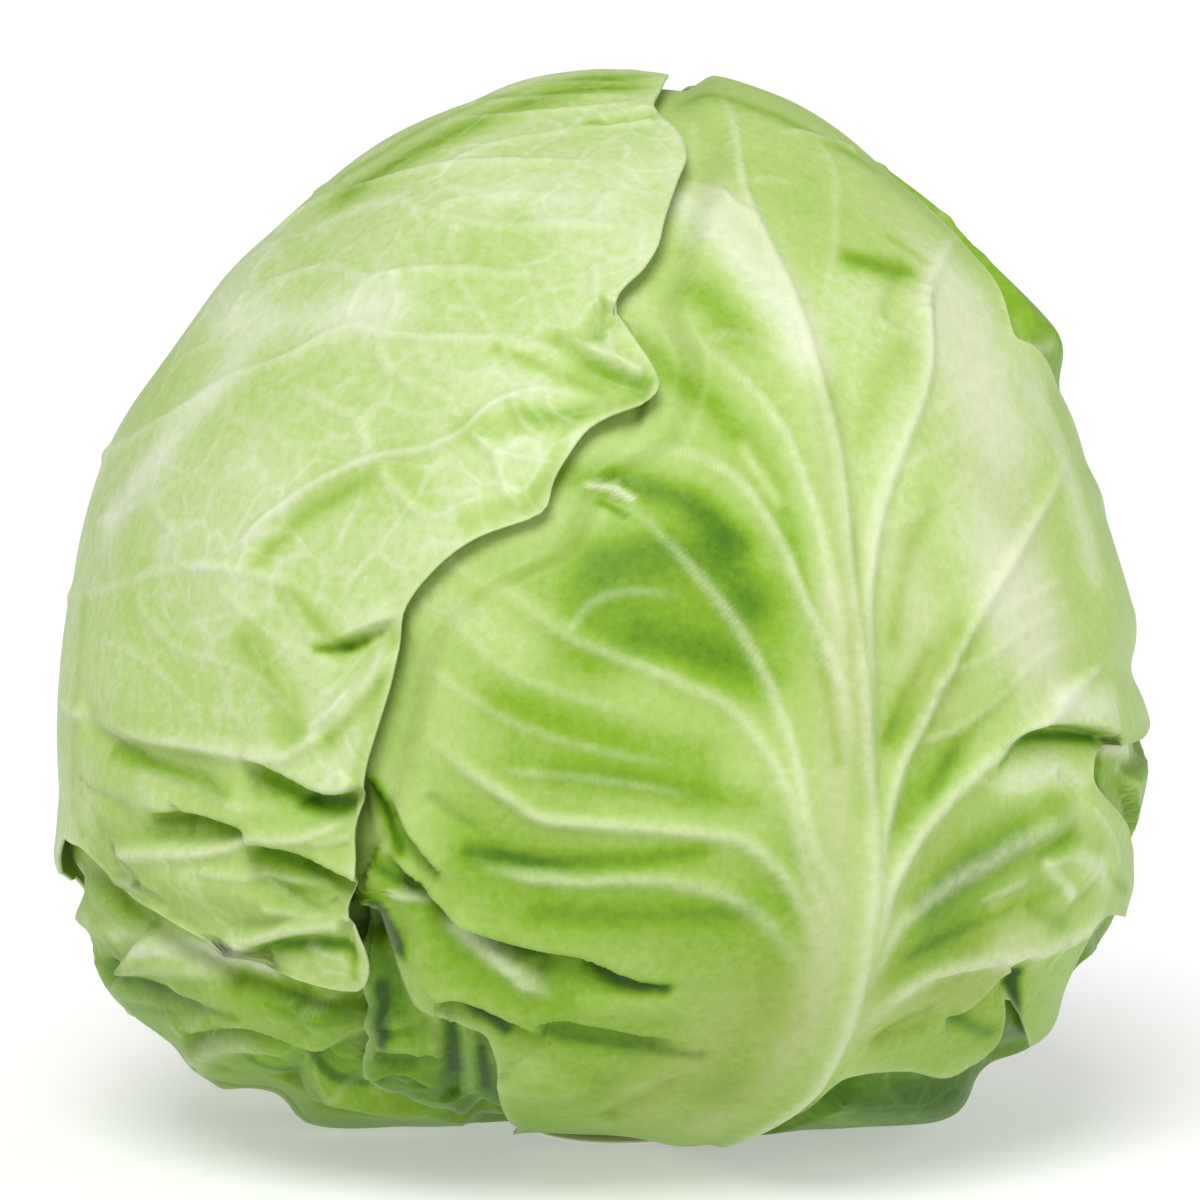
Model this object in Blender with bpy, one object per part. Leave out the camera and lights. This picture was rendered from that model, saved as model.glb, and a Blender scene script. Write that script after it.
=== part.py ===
"""Cabbage head: broad ribbed blades wrapped over one another around a tight heart, on a short cut stalk.

The shape is worked out in millimetres about the middle of the head and written in metres, +Z up, with -Y as the
front. Blades are drawn on a front sketch (x to the right, y down) whose points are projected onto the head. Every
blade is a sheet with the same triangles on both faces, so its two faces never cross.
"""

import math

import bmesh
import bpy
import numpy as np

MM = 0.001

# Overall dimensions, in millimetres
HEAD_WIDTH = 180.0
MIDDLE_HEIGHT = 81.5
MIDDLE_SHIFT = (0.0, 2.37)
SKETCH_WIDTH = 1093.0
SKETCH_MIDDLE = (602.0, 640.0)
SKETCH_TILT = 9.0
SKETCH_DISTANCE = 1500.0
STEP = HEAD_WIDTH / SKETCH_WIDTH
MEAN_RADIUS = 90.0

# Blade sheets
BLADE_THICKNESS = 1.0
BLADE_GAP = 1.2
TUCK_LENGTH = 6.0
TUCK_MARGIN = 2.2
SHEET_CELLS = 150
FLOOR_CLEARANCE = 0.9
FLOOR_SOFTNESS = 1.5
BELOW_LEVEL = 0.05
ROUGHNESS = 0.5

# Heart and stalk
HEART_DEPTH = 16.5
STALK_RADIUS = 16.0
STALK_NECK_RADIUS = 13.5
STALK_NECK_HEIGHT = 7.0
STALK_CHAMFER = 1.2
STALK_TOP = 13.4
STALK_X = 3.0
STALK_SIDES = 40
HEART_SUBDIVISIONS = 4
COLLAR_ANGLE = 12.6

# Width of the blend that carries the sketched outline round the two sides, as a share of the radius
LIMB_SPREAD = 0.34

# Profiles across the drawn lines: softness of a groove's bottom and of a fold's edge, in millimetres
GROOVE_SOFTNESS = 0.5
FOLD_SOFTNESS = 0.9
COVER_SPREAD = 3.0
REACH = 3.0
# Share of a line's stated width that is built, for narrow and for broad lines
LINE_SHARES = {"rib": (1.0, 1.0), "crease": (1.0, 1.0), "fold": (1.0, 1.0)}
NARROW_LINE = 1.5
BROAD_LINE = 5.0

# Waves of a blade's surface and of its margin
SWELL_WAVE = 34.0
RUFFLE_WAVE = 17.0
RUFFLE_DEPTH = 4.5
RUFFLE_LEVEL = 0.55
WAVE_COUNT = 9
WAVE_SPREAD = (0.75, 1.35)
MARGIN_TURNS = (7, 11, 17, 23, 31)
MARGIN_WAVE = 0.16
LEAST_TURN = 0.25

# Rounding of the closed tables, in entries
FINE_ROUNDING = 1.6
BROAD_ROUNDING = 18.0
PROFILE_ROUNDING = 14.0
EDGE_ROUNDING = 1.8
COVER_ROUNDING = 3.0
EVEN_ROUNDING = 12.0
COVER_REACH = 8
PROFILE_STEP = 15.0
POLE_START = 0.97
TINY = 1e-9

# Search along a line of sight, in millimetres in front of the middle
SIGHT_START = 112.0
SIGHT_END = -30.0
SIGHT_STEP = 0.5

# Outline of the head on the front sketch
OUTLINE_RIGHT = [
    (602, 70), (640, 70), (672, 72), (720, 80), (790, 105), (855, 145), (905, 185), (945, 220), (976, 252),
    (1014, 285), (1035, 304), (1060, 331), (1066, 350), (1062, 367), (1058, 384), (1069, 416), (1084, 462),
    (1098, 489), (1102, 515), (1113, 546), (1128, 603), (1133, 617), (1132, 643), (1124, 670), (1142, 706),
    (1149, 760), (1148, 781), (1140, 815), (1132, 840), (1135, 886), (1124, 914), (1120, 930), (1102, 945),
    (1078, 962), (1066, 981), (1060, 999), (1056, 1024), (1041, 1044), (1018, 1055), (990, 1060),
    (972, 1074),
    (972, 1090), (959, 1113), (936, 1123), (860, 1124), (801, 1124), (722, 1134), (640, 1132), (602, 1130),
]
OUTLINE_LEFT = [
    (602, 70), (540, 82), (440, 115), (345, 170), (270, 235), (200, 310), (150, 380), (107, 460), (75, 580),
    (62, 640), (55, 720), (60, 790), (58, 830), (55, 859), (68, 879), (81, 895), (90, 923), (98, 943),
    (96, 959),
    (104, 981), (119, 1002), (140, 1020), (178, 1045), (188, 1063), (209, 1077), (234, 1082), (265, 1081),
    (288, 1085), (298, 1101), (308, 1117), (323, 1126), (349, 1128), (400, 1124), (464, 1121), (532, 1127),
    (602, 1130),
]
# Front and back profiles: radius every 15 degrees from the top down
FRONT_PROFILE = [93.9, 91.5, 88.5, 86.5, 85.5, 86.0, 88.0, 91.0, 93.5, 93.0, 88.0, 83.0, 81.0]
BACK_PROFILE = [93.9, 91.0, 87.5, 85.5, 85.0, 86.0, 88.0, 90.5, 93.0, 93.5, 90.0, 83.5, 81.0]

TABLE = 720


def unit(azimuth, elevation):
    """Direction from the middle; azimuth 0 is the front, 90 the right."""
    az, el = math.radians(azimuth), math.radians(elevation)
    return np.array((math.sin(az) * math.cos(el), -math.cos(az) * math.cos(el), math.sin(el)))


RIGHT = np.array((1.0, 0.0, 0.0))
UP = np.array((0.0, math.sin(math.radians(SKETCH_TILT)), math.cos(math.radians(SKETCH_TILT))))
NEAR = np.cross(RIGHT, UP)
STALK_AXIS = np.array((STALK_X, 0.0, -MIDDLE_HEIGHT)) / math.hypot(STALK_X, MIDDLE_HEIGHT)


def smoothstep(x):
    x = np.clip(x, 0.0, 1.0)
    return x * x * (3.0 - 2.0 * x)


def loop_smooth(values, sigma):
    """Round a closed table with a Gaussian of sigma entries."""
    reach = int(3 * sigma) + 1
    offsets = np.arange(-reach, reach + 1)
    weights = np.exp(-0.5 * (offsets / sigma) ** 2)
    weights /= weights.sum()
    padded = np.concatenate([values[-reach:], values, values[:reach]])
    return np.convolve(padded, weights, mode="valid")


def loop_read(table, angle):
    """Read a closed table at angles in radians."""
    place = (angle / (2 * math.pi) % 1.0) * len(table)
    low = np.floor(place).astype(int) % len(table)
    share = place - np.floor(place)
    return table[low] * (1 - share) + table[(low + 1) % len(table)] * share


def outline_table():
    """Radius of the sketched outline by angle round the sketch's middle, from the right over the top."""
    drawn = np.array(OUTLINE_RIGHT[::-1] + OUTLINE_LEFT[1:-1], float)
    across = (drawn[:, 0] - SKETCH_MIDDLE[0]) * STEP
    above = (SKETCH_MIDDLE[1] - drawn[:, 1]) * STEP
    angle = np.arctan2(above, across) % (2 * math.pi)
    order = np.argsort(angle)
    angles = np.arange(TABLE) * 2 * math.pi / TABLE
    return np.interp(angles, angle[order], np.hypot(across, above)[order], period=2 * math.pi)


def profile_table():
    """The front and back profiles as one closed table, from the front over the top."""
    loop = FRONT_PROFILE[::-1] + BACK_PROFILE[1:-1]
    stations = np.radians(np.arange(len(loop)) * PROFILE_STEP - 90.0) % (2 * math.pi)
    order = np.argsort(stations)
    angles = np.arange(TABLE) * 2 * math.pi / TABLE
    table = np.interp(angles, stations[order], np.array(loop)[order], period=2 * math.pi)
    return loop_smooth(table, PROFILE_ROUNDING)


SIDE_FINE = loop_smooth(outline_table(), FINE_ROUNDING)
SIDE_TABLE = loop_smooth(SIDE_FINE, BROAD_ROUNDING)
DEPTH_TABLE = profile_table()


def above_floor(directions, radius):
    """Keep the underside a little above the floor, with a soft bend."""
    drop = np.maximum(-directions[:, 2], BELOW_LEVEL)
    most = (MIDDLE_HEIGHT - FLOOR_CLEARANCE) / drop
    over = (radius - most) / FLOOR_SOFTNESS
    eased = most - FLOOR_SOFTNESS * np.logaddexp(0.0, -over)
    return np.where(directions[:, 2] < -BELOW_LEVEL, eased, radius)


def bare_radius(directions):
    """Radius of the head without relief."""
    across, above, near = directions @ RIGHT, directions @ UP, directions @ NEAR
    rise = np.arcsin(np.clip(above, -1, 1))
    side = loop_read(SIDE_TABLE, np.where(across > 0, rise, math.pi - rise))
    depth = loop_read(DEPTH_TABLE, np.where(near > 0, rise, math.pi - rise))
    level = across**2 + near**2 + TINY
    smooth = (side * across**2 + depth * near**2) / level
    pole = np.where(above > 0, SIDE_TABLE[TABLE // 4], SIDE_TABLE[3 * TABLE // 4])
    to_pole = smoothstep((np.abs(above) - POLE_START) / (1 - POLE_START))
    smooth = smooth * (1 - to_pole) + pole * to_pole
    limb = np.exp(-((near / LIMB_SPREAD) ** 2))
    fine = loop_read(SIDE_FINE - SIDE_TABLE, np.arctan2(above, across))
    return smooth + fine * limb


def seen(points):
    """Directions of sketch points, where the line of sight first meets the head."""
    drawn = np.asarray(points, float)
    across = (drawn[:, :1] - SKETCH_MIDDLE[0]) * STEP * RIGHT
    above = (SKETCH_MIDDLE[1] - drawn[:, 1:]) * STEP * UP
    plane = across + above
    depths = np.arange(SIGHT_START, SIGHT_END, -SIGHT_STEP)
    best = np.full(len(drawn), np.inf)
    found = np.zeros((len(drawn), 3))
    done = np.zeros(len(drawn), bool)
    for depth in depths:
        place = plane * (1 - depth / SKETCH_DISTANCE) + NEAR * depth
        length = np.linalg.norm(place, axis=1)
        over = length - bare_radius(place / length[:, None])
        better = (over < best) & ~done
        found[better] = (place / length[:, None])[better]
        best[better] = over[better]
        done |= over <= 0
    return found


def rounded(points, passes=2):
    """Cut the corners of an open line."""
    line = np.asarray(points, float)
    for _ in range(passes):
        quarter = line[:-1] * 0.75 + line[1:] * 0.25
        three = line[:-1] * 0.25 + line[1:] * 0.75
        middle = np.stack([quarter, three], axis=1).reshape(-1, line.shape[1])
        line = np.concatenate([line[:1], middle, line[-1:]])
    return line


def ripples(directions, seed, length):
    """Soft seeded swelling of the surface, between -1 and 1, with waves about length millimetres long."""
    random = np.random.default_rng(seed)
    axes = random.normal(size=(WAVE_COUNT, 3))
    axes /= np.linalg.norm(axes, axis=1)[:, None]
    turns = 2 * math.pi * MEAN_RADIUS / (length * random.uniform(*WAVE_SPREAD, WAVE_COUNT))
    phases = random.uniform(0, 2 * math.pi, WAVE_COUNT)
    waves = np.sin(directions @ (axes * turns[:, None]).T + phases)
    return np.clip(waves.sum(axis=1) / math.sqrt(2.0 * WAVE_COUNT), -1, 1)


class Stroke:
    """A line drawn on the head, with a profile across it.

    kind "rib" is a round ridge, "crease" a sharp groove with rising flanks and "fold" a step: high on the left of
    the line as it is drawn, and dropping away sharply on its right.
    """

    def __init__(self, kind, heights, widths, ends, drop, points):
        self.kind = kind
        self.heights = heights
        self.widths = widths
        self.ends = ends
        self.drop = drop
        on_sketch = not isinstance(points, np.ndarray)
        self.line = seen(rounded(points)) if on_sketch else points

    def nearest(self, directions, reach):
        """Indices within reach, with distance in mm, side and share of the line's length."""
        middle = self.line.mean(axis=0)
        middle = middle / np.linalg.norm(middle)
        size = np.linalg.norm(self.line - middle, axis=1).max()
        index = np.where(np.linalg.norm(directions - middle, axis=1) < size + reach / MEAN_RADIUS)[0]
        close = directions[index]
        best = np.full(len(index), np.inf)
        side = np.zeros(len(index))
        share = np.zeros(len(index))
        lengths = np.linalg.norm(np.diff(self.line, axis=0), axis=1)
        starts = np.concatenate([[0.0], np.cumsum(lengths)])
        for number, length in enumerate(lengths):
            if length < TINY:
                continue
            start = self.line[number]
            along = (self.line[number + 1] - start) / length
            travel = np.clip((close - start) @ along, 0, length)
            away = close - (start + travel[:, None] * along)
            distance = np.linalg.norm(away, axis=1)
            left = np.cross(start, along)
            nearer = distance < best
            best[nearer] = distance[nearer]
            side[nearer] = np.sign(away @ left)[nearer]
            share[nearer] = ((starts[number] + travel) / starts[-1])[nearer]
        inside = best * MEAN_RADIUS < reach
        return index[inside], best[inside] * MEAN_RADIUS, side[inside], share[inside]

    def width(self, share):
        stated = self.widths[0] + (self.widths[1] - self.widths[0]) * share
        narrow, broad = LINE_SHARES[self.kind]
        return stated * np.interp(stated, (NARROW_LINE, BROAD_LINE), (narrow, broad))

    def strength(self, share):
        first, last = self.ends
        rise = smoothstep(share / first) if first > 0 else 1.0
        fall = smoothstep((1 - share) / last) if last > 0 else 1.0
        return rise * fall

    def values(self, directions, spread=0.0):
        """Height in mm; with a spread, only the widened downward part."""
        height = np.zeros(len(directions))
        reach = REACH * (max(self.widths) + spread)
        index, distance, side, share = self.nearest(directions, reach)
        width = self.width(share) + spread
        strength = self.strength(share)
        tall = (self.heights[0] + (self.heights[1] - self.heights[0]) * share) * strength
        bell = np.exp(-((distance / width) ** 2))
        softened = np.hypot(distance, GROOVE_SOFTNESS) - GROOVE_SOFTNESS
        groove = np.exp(-softened / width) * (1 - smoothstep(distance / reach))
        deep = self.drop * strength
        if spread:
            deep = tall if self.kind == "crease" else deep
            height[index] = -deep * bell
        elif self.kind == "rib":
            height[index] = tall * bell
        elif self.kind == "crease":
            height[index] = -tall * groove
        else:
            step = 0.5 * (1 + np.tanh(side * distance / FOLD_SOFTNESS))
            height[index] = tall * bell * step - deep * groove * (1 - step)
        return height


class Blade:
    """One leaf: an outline round a middle direction, with its own relief."""

    def __init__(self, name, middle, outline, relief, swell, ruffle, seed):
        self.name = name
        self.relief = relief
        self.swell = swell
        self.ruffle = ruffle
        self.seed = seed
        self.middle = unit(*middle)
        self.first = np.cross(self.middle, np.array((0.0, 0.0, 1.0)))
        self.first /= np.linalg.norm(self.first)
        self.second = np.cross(self.middle, self.first)
        self.edge = self.edge_table(outline)
        self.cover = self.cover_table()

    def polar(self, directions):
        angle = np.arctan2(directions @ self.second, directions @ self.first)
        return np.arccos(np.clip(directions @ self.middle, -1, 1)), angle

    def edge_table(self, outline):
        """Angular distance of the margin from the middle, by angle."""
        directions, drawn = [], []
        for kind, points in outline:
            if kind == "sketch":
                found = seen(points)
            else:
                found = np.array([unit(*point) for point in points])
            directions.append(found)
            drawn.append(np.full(len(found), 0.0 if kind == "hidden" else 1.0))
        away, angle = self.polar(np.concatenate(directions))
        drawn = np.concatenate(drawn)
        angle = np.unwrap(angle)
        if angle[-1] < angle[0]:
            away, angle, drawn = away[::-1], angle[::-1], drawn[::-1]
        least = math.radians(LEAST_TURN)
        for number in range(1, len(angle)):
            angle[number] = max(angle[number], angle[number - 1] + least)
        angles = np.arange(TABLE) * 2 * math.pi / TABLE
        table = np.interp(angles, angle, away, period=2 * math.pi)
        on_sketch = np.interp(angles, angle, drawn, period=2 * math.pi)
        random = np.random.default_rng(self.seed)
        wave = np.zeros(TABLE)
        for turns in MARGIN_TURNS:
            wave += np.sin(turns * angles + random.uniform(0, 2 * math.pi)) / turns
        table = table + wave * MARGIN_WAVE * (1 - on_sketch)
        return loop_smooth(table, EDGE_ROUNDING)

    def cover_table(self):
        """The margin widened a little, for the blades below."""
        shifts = range(-COVER_REACH, COVER_REACH + 1)
        wide = np.max([np.roll(self.edge, shift) for shift in shifts], axis=0)
        return loop_smooth(wide, COVER_ROUNDING) + TUCK_MARGIN / MEAN_RADIUS

    def covering(self, directions):
        """1 under the blade, falling to 0 outside its margin."""
        away, angle = self.polar(directions)
        outside = (away - loop_read(self.cover, angle)) * MEAN_RADIUS
        return 1 - smoothstep(outside / TUCK_LENGTH)

    def inside(self, directions):
        """Distance from the margin in mm, measured towards the middle."""
        away, angle = self.polar(directions)
        return (loop_read(self.edge, angle) - away) * MEAN_RADIUS

    def height(self, directions):
        """The blade's own relief in mm."""
        total = self.swell * ripples(directions, self.seed, SWELL_WAVE)
        for mark in self.relief:
            total = total + mark.values(directions)
        rim = np.exp(-np.maximum(self.inside(directions), 0) / RUFFLE_DEPTH)
        waved = RUFFLE_LEVEL + (1 - RUFFLE_LEVEL) * ripples(directions, self.seed + 1, RUFFLE_WAVE)
        return total + self.ruffle * rim * waved

    def lowest(self, directions):
        """A smooth surface that the relief stays above."""
        total = np.full(len(directions), -self.swell)
        for mark in self.relief:
            total = total + mark.values(directions, COVER_SPREAD)
        return total

    def sheet_directions(self, cells):
        """A square grid carried onto the blade: each corner's direction."""
        ticks = np.linspace(-1, 1, cells + 1)
        x, y = [grid.ravel() for grid in np.meshgrid(ticks, ticks, indexing="ij")]
        wide = np.abs(x) >= np.abs(y)
        share = np.where(wide, np.abs(x), np.abs(y))
        safe_x = np.where(x == 0, 1.0, x)
        safe_y = np.where(y == 0, 1.0, y)
        turn_wide = np.where(x >= 0, 0.0, math.pi) + math.pi / 4 * (y / safe_x)
        turn_tall = np.where(y >= 0, math.pi / 2, 3 * math.pi / 2) - math.pi / 4 * (x / safe_y)
        angle = np.where(wide, turn_wide, turn_tall)
        even = loop_smooth(self.edge, EVEN_ROUNDING)
        broad, exact = loop_read(even, angle), loop_read(self.edge, angle)
        away = share * (broad + (exact - broad) * share**4)
        flat = np.cos(angle)[:, None] * self.first + np.sin(angle)[:, None] * self.second
        return np.cos(away)[:, None] * self.middle + np.sin(away)[:, None] * flat


def surface_radius(blades, number, directions):
    """Outer face of a blade, tucked under the blades above it."""
    free = np.ones(len(directions))
    lowered = np.zeros(len(directions))
    for upper in blades[:number]:
        cover = upper.covering(directions)
        free *= 1 - cover
        lowered += cover * (upper.lowest(directions) - BLADE_THICKNESS - BLADE_GAP)
    own = blades[number].height(directions) * free
    return above_floor(directions, bare_radius(directions) + own) + lowered


def collar(first, last, count=5):
    """Points of a blade's foot, round the stalk between two azimuths."""
    points = []
    for azimuth in np.linspace(first, last, count):
        flat = unit(azimuth, 0.0)
        flat = flat - (flat @ STALK_AXIS) * STALK_AXIS
        flat /= np.linalg.norm(flat)
        angle = math.radians(COLLAR_ANGLE)
        d = math.cos(angle) * STALK_AXIS + math.sin(angle) * flat
        points.append((math.degrees(math.atan2(d[0], -d[1])), math.degrees(math.asin(d[2]))))
    return points


def hidden_line(points):
    """Directions of a line stated by azimuth and elevation."""
    return np.array([unit(*point) for point in rounded(points)])


# Midribs of the blades whose own are out of sight on the front sketch, by azimuth and elevation
MIDRIB_LEFT = [(-146, -74), (-136, -55), (-128, -32), (-124, -8), (-121, 16), (-117, 40), (-108, 62)]
MIDRIB_RIGHT = [(128, -74), (136, -55), (139, -32), (137, -8), (136, 16), (134, 38), (130, 58)]
MIDRIB_LOWER_LEFT = [(-75, -75), (-80, -60), (-88, -45), (-97, -30), (-105, -16)]


def left_leaf():
    outline = [
        ("sketch", [
            (670, 74), (662, 88), (652, 106), (662, 121), (674, 128), (683, 143), (687, 163), (679, 179),
            (669, 207), (663, 227), (659, 250), (644, 272), (623, 288), (613, 304), (620, 320), (635, 342),
            (649, 360), (659, 378), (661, 392), (642, 408), (608, 417), (585, 431), (570, 454), (557, 474),
            (549, 495), (552, 506), (540, 518), (501, 527), (473, 539), (445, 559), (419, 587), (403, 611),
            (400, 655), (391, 689), (378, 732), (368, 763), (363, 795), (355, 818), (353, 836), (358, 856),
            (358, 880), (352, 897), (345, 911), (352, 926), (366, 945), (372, 969), (366, 988), (350, 998),
            (311, 987), (272, 977), (229, 962), (210, 948), (193, 926), (173, 912), (145, 900), (117, 884),
            (103, 864), (84, 846), (66, 836),
        ]),
        ("hidden", [(-95, -24), (-99, -38), (-102, -52), (-108, -66)]),
        ("foot", collar(-127, -165, 3)),
        ("hidden", [(-172, -66), (176, -48), (168, -26), (163, -4), (160, 16), (158, 36), (157, 52),
            (160, 66),
                    (172, 76)]),
    ]
    lines = [
        # Veins of the broad upper part
        ("rib", (0.4, 0.7), (1.7, 1.4), (0.02, 0.3), 0, [
            (62, 596), (117, 587), (173, 567), (214, 567), (260, 574), (298, 588), (336, 611), (362, 629)]),
        ("rib", (1.3, 0.6), (1.6, 1.3), (0.1, 0.3), 0, [
            (234, 560), (260, 528), (298, 496), (331, 476), (367, 458), (427, 451), (468, 432), (483, 413),
            (514, 395), (547, 390), (585, 395), (613, 400)]),
        ("crease", (1.0, 0.6), (2.2, 1.8), (0.15, 0.3), 0, [
            (252, 566), (283, 530), (325, 500), (377, 474)]),
        ("rib", (0.6, 1.0), (2.0, 1.4), (0.02, 0.3), 0, [
            (92, 462), (122, 446), (184, 408), (230, 377), (291, 358), (341, 327), (383, 335), (417, 341),
            (478, 339), (536, 342), (574, 362), (610, 383)]),
        ("rib", (0.8, 0.5), (1.6, 1.3), (0.15, 0.3), 0, [
            (245, 293), (283, 277), (337, 264), (362, 285), (390, 275), (452, 266), (497, 272), (536, 274),
            (574, 285)]),
        ("rib", (0.6, 0.8), (1.6, 1.3), (0.05, 0.3), 0, [
            (270, 238), (314, 197), (381, 180), (432, 168), (488, 163), (560, 163), (636, 166)]),
        ("rib", (0.6, 0.4), (1.5, 1.3), (0.15, 0.3), 0, [
            (391, 199), (432, 217), (509, 226), (595, 225), (659, 241)]),
        ("rib", (0.6, 0.4), (1.5, 1.3), (0.15, 0.3), 0, [
            (437, 122), (509, 116), (560, 110), (631, 105), (655, 96)]),
        ("rib", (0.6, 0.4), (1.4, 1.2), (0.15, 0.3), 0, [
            (468, 432), (493, 451), (503, 477), (506, 497), (534, 513)]),
        ("rib", (0.6, 0.4), (1.4, 1.2), (0.15, 0.3), 0, [
            (372, 458), (399, 497), (432, 523), (468, 500), (506, 497)]),
        ("rib", (0.6, 0.4), (1.4, 1.2), (0.15, 0.3), 0, [
            (375, 341), (383, 364), (413, 386), (452, 402), (474, 409)]),
        ("rib", (0.6, 0.4), (1.4, 1.2), (0.15, 0.3), 0, [(367, 458), (360, 421), (325, 404), (283, 383)]),
        # Gathered corner beside the notch of the margin
        ("crease", (1.8, 0.8), (2.4, 1.8), (0.02, 0.4), 0, [(613, 306), (602, 325), (590, 352)]),
        ("rib", (1.4, 0.8), (2.4, 2.0), (0.1, 0.4), 0, [(648, 376), (612, 362), (585, 346), (560, 332)]),
        ("crease", (1.6, 0.9), (2.6, 2.2), (0.1, 0.4), 0, [(652, 392), (620, 384), (590, 372), (556, 360)]),
        ("fold", (1.0, 0.7), (3.0, 2.6), (0.4, 0.05), 1.2, [(590, 120), (625, 116), (650, 110)]),
        # Pleat below the corner of the margin
        ("fold", (1.4, 1.2), (4.6, 4.2), (0.5, 0.3), 2.4, [
            (304, 654), (322, 650), (345, 641), (371, 630), (404, 614)]),
        ("rib", (1.2, 0.8), (3.0, 2.4), (0.2, 0.3), 0, [(398, 640), (372, 682), (350, 708), (322, 736)]),
        # Flap over the crumpled lower part
        ("rib", (0.9, 1.6), (2.2, 2.0), (0.02, 0.25), 0, [
            (60, 700), (94, 724), (132, 739), (173, 744), (219, 749), (260, 757), (300, 752), (323, 729),
            (356, 690), (387, 655)]),
        ("crease", (2.6, 2.4), (3.4, 3.0), (0.1, 0.2), 0, [
            (78, 716), (95, 728), (130, 754), (151, 768), (188, 779), (214, 790), (240, 800)]),
        ("fold", (1.6, 1.6), (4.6, 4.2), (0.15, 0.1), 3.2, [
            (240, 756), (262, 762), (280, 773), (299, 784), (318, 794), (336, 797), (352, 791),
            (362, 782)]),
        ("crease", (1.4, 1.2), (2.0, 1.8), (0.15, 0.1), 0, [(298, 802), (330, 813), (354, 806)]),
        ("rib", (1.4, 1.2), (4.6, 4.0), (0.2, 0.2), 0, [
            (116, 784), (170, 796), (240, 812), (300, 822), (346, 818)]),
        ("fold", (1.0, 1.2), (4.0, 3.6), (0.2, 0.2), 3.0, [
            (146, 814), (180, 812), (199, 813), (232, 821), (262, 836)]),
        ("crease", (1.4, 1.0), (1.5, 1.3), (0.1, 0.4), 0, [(183, 804), (182, 822), (189, 838)]),
        ("rib", (1.8, 1.4), (2.0, 1.8), (0.1, 0.15), 0, [
            (112, 852), (150, 850), (188, 850), (225, 848), (247, 838), (262, 832), (299, 837), (336, 827),
            (358, 815)]),
        ("fold", (1.2, 1.4), (4.0, 3.6), (0.1, 0.05), 2.8, [
            (246, 843), (275, 847), (299, 854), (336, 872), (360, 883)]),
        ("rib", (1.4, 1.2), (5.0, 4.4), (0.2, 0.2), 0, [(120, 872), (180, 874), (240, 888), (300, 906)]),
        ("crease", (1.6, 1.4), (2.2, 2.0), (0.2, 0.1), 0, [(247, 867), (277, 888), (306, 911), (340, 926)]),
        ("rib", (1.8, 1.4), (2.2, 2.0), (0.1, 0.1), 0, [(222, 952), (262, 938), (299, 928), (345, 924)]),
        ("crease", (2.4, 2.0), (2.6, 2.4), (0.15, 0.1), 0, [
            (246, 962), (273, 948), (300, 943), (329, 946), (352, 948)]),
        ("crease", (1.6, 1.2), (1.6, 1.4), (0.05, 0.3), 0, [(346, 920), (349, 944), (357, 972)]),
        ("rib", (3.2, 1.0), (5.0, 2.6), (0.15, 0.3), 0, hidden_line(MIDRIB_LEFT)),
    ]
    return outline, lines


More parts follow.
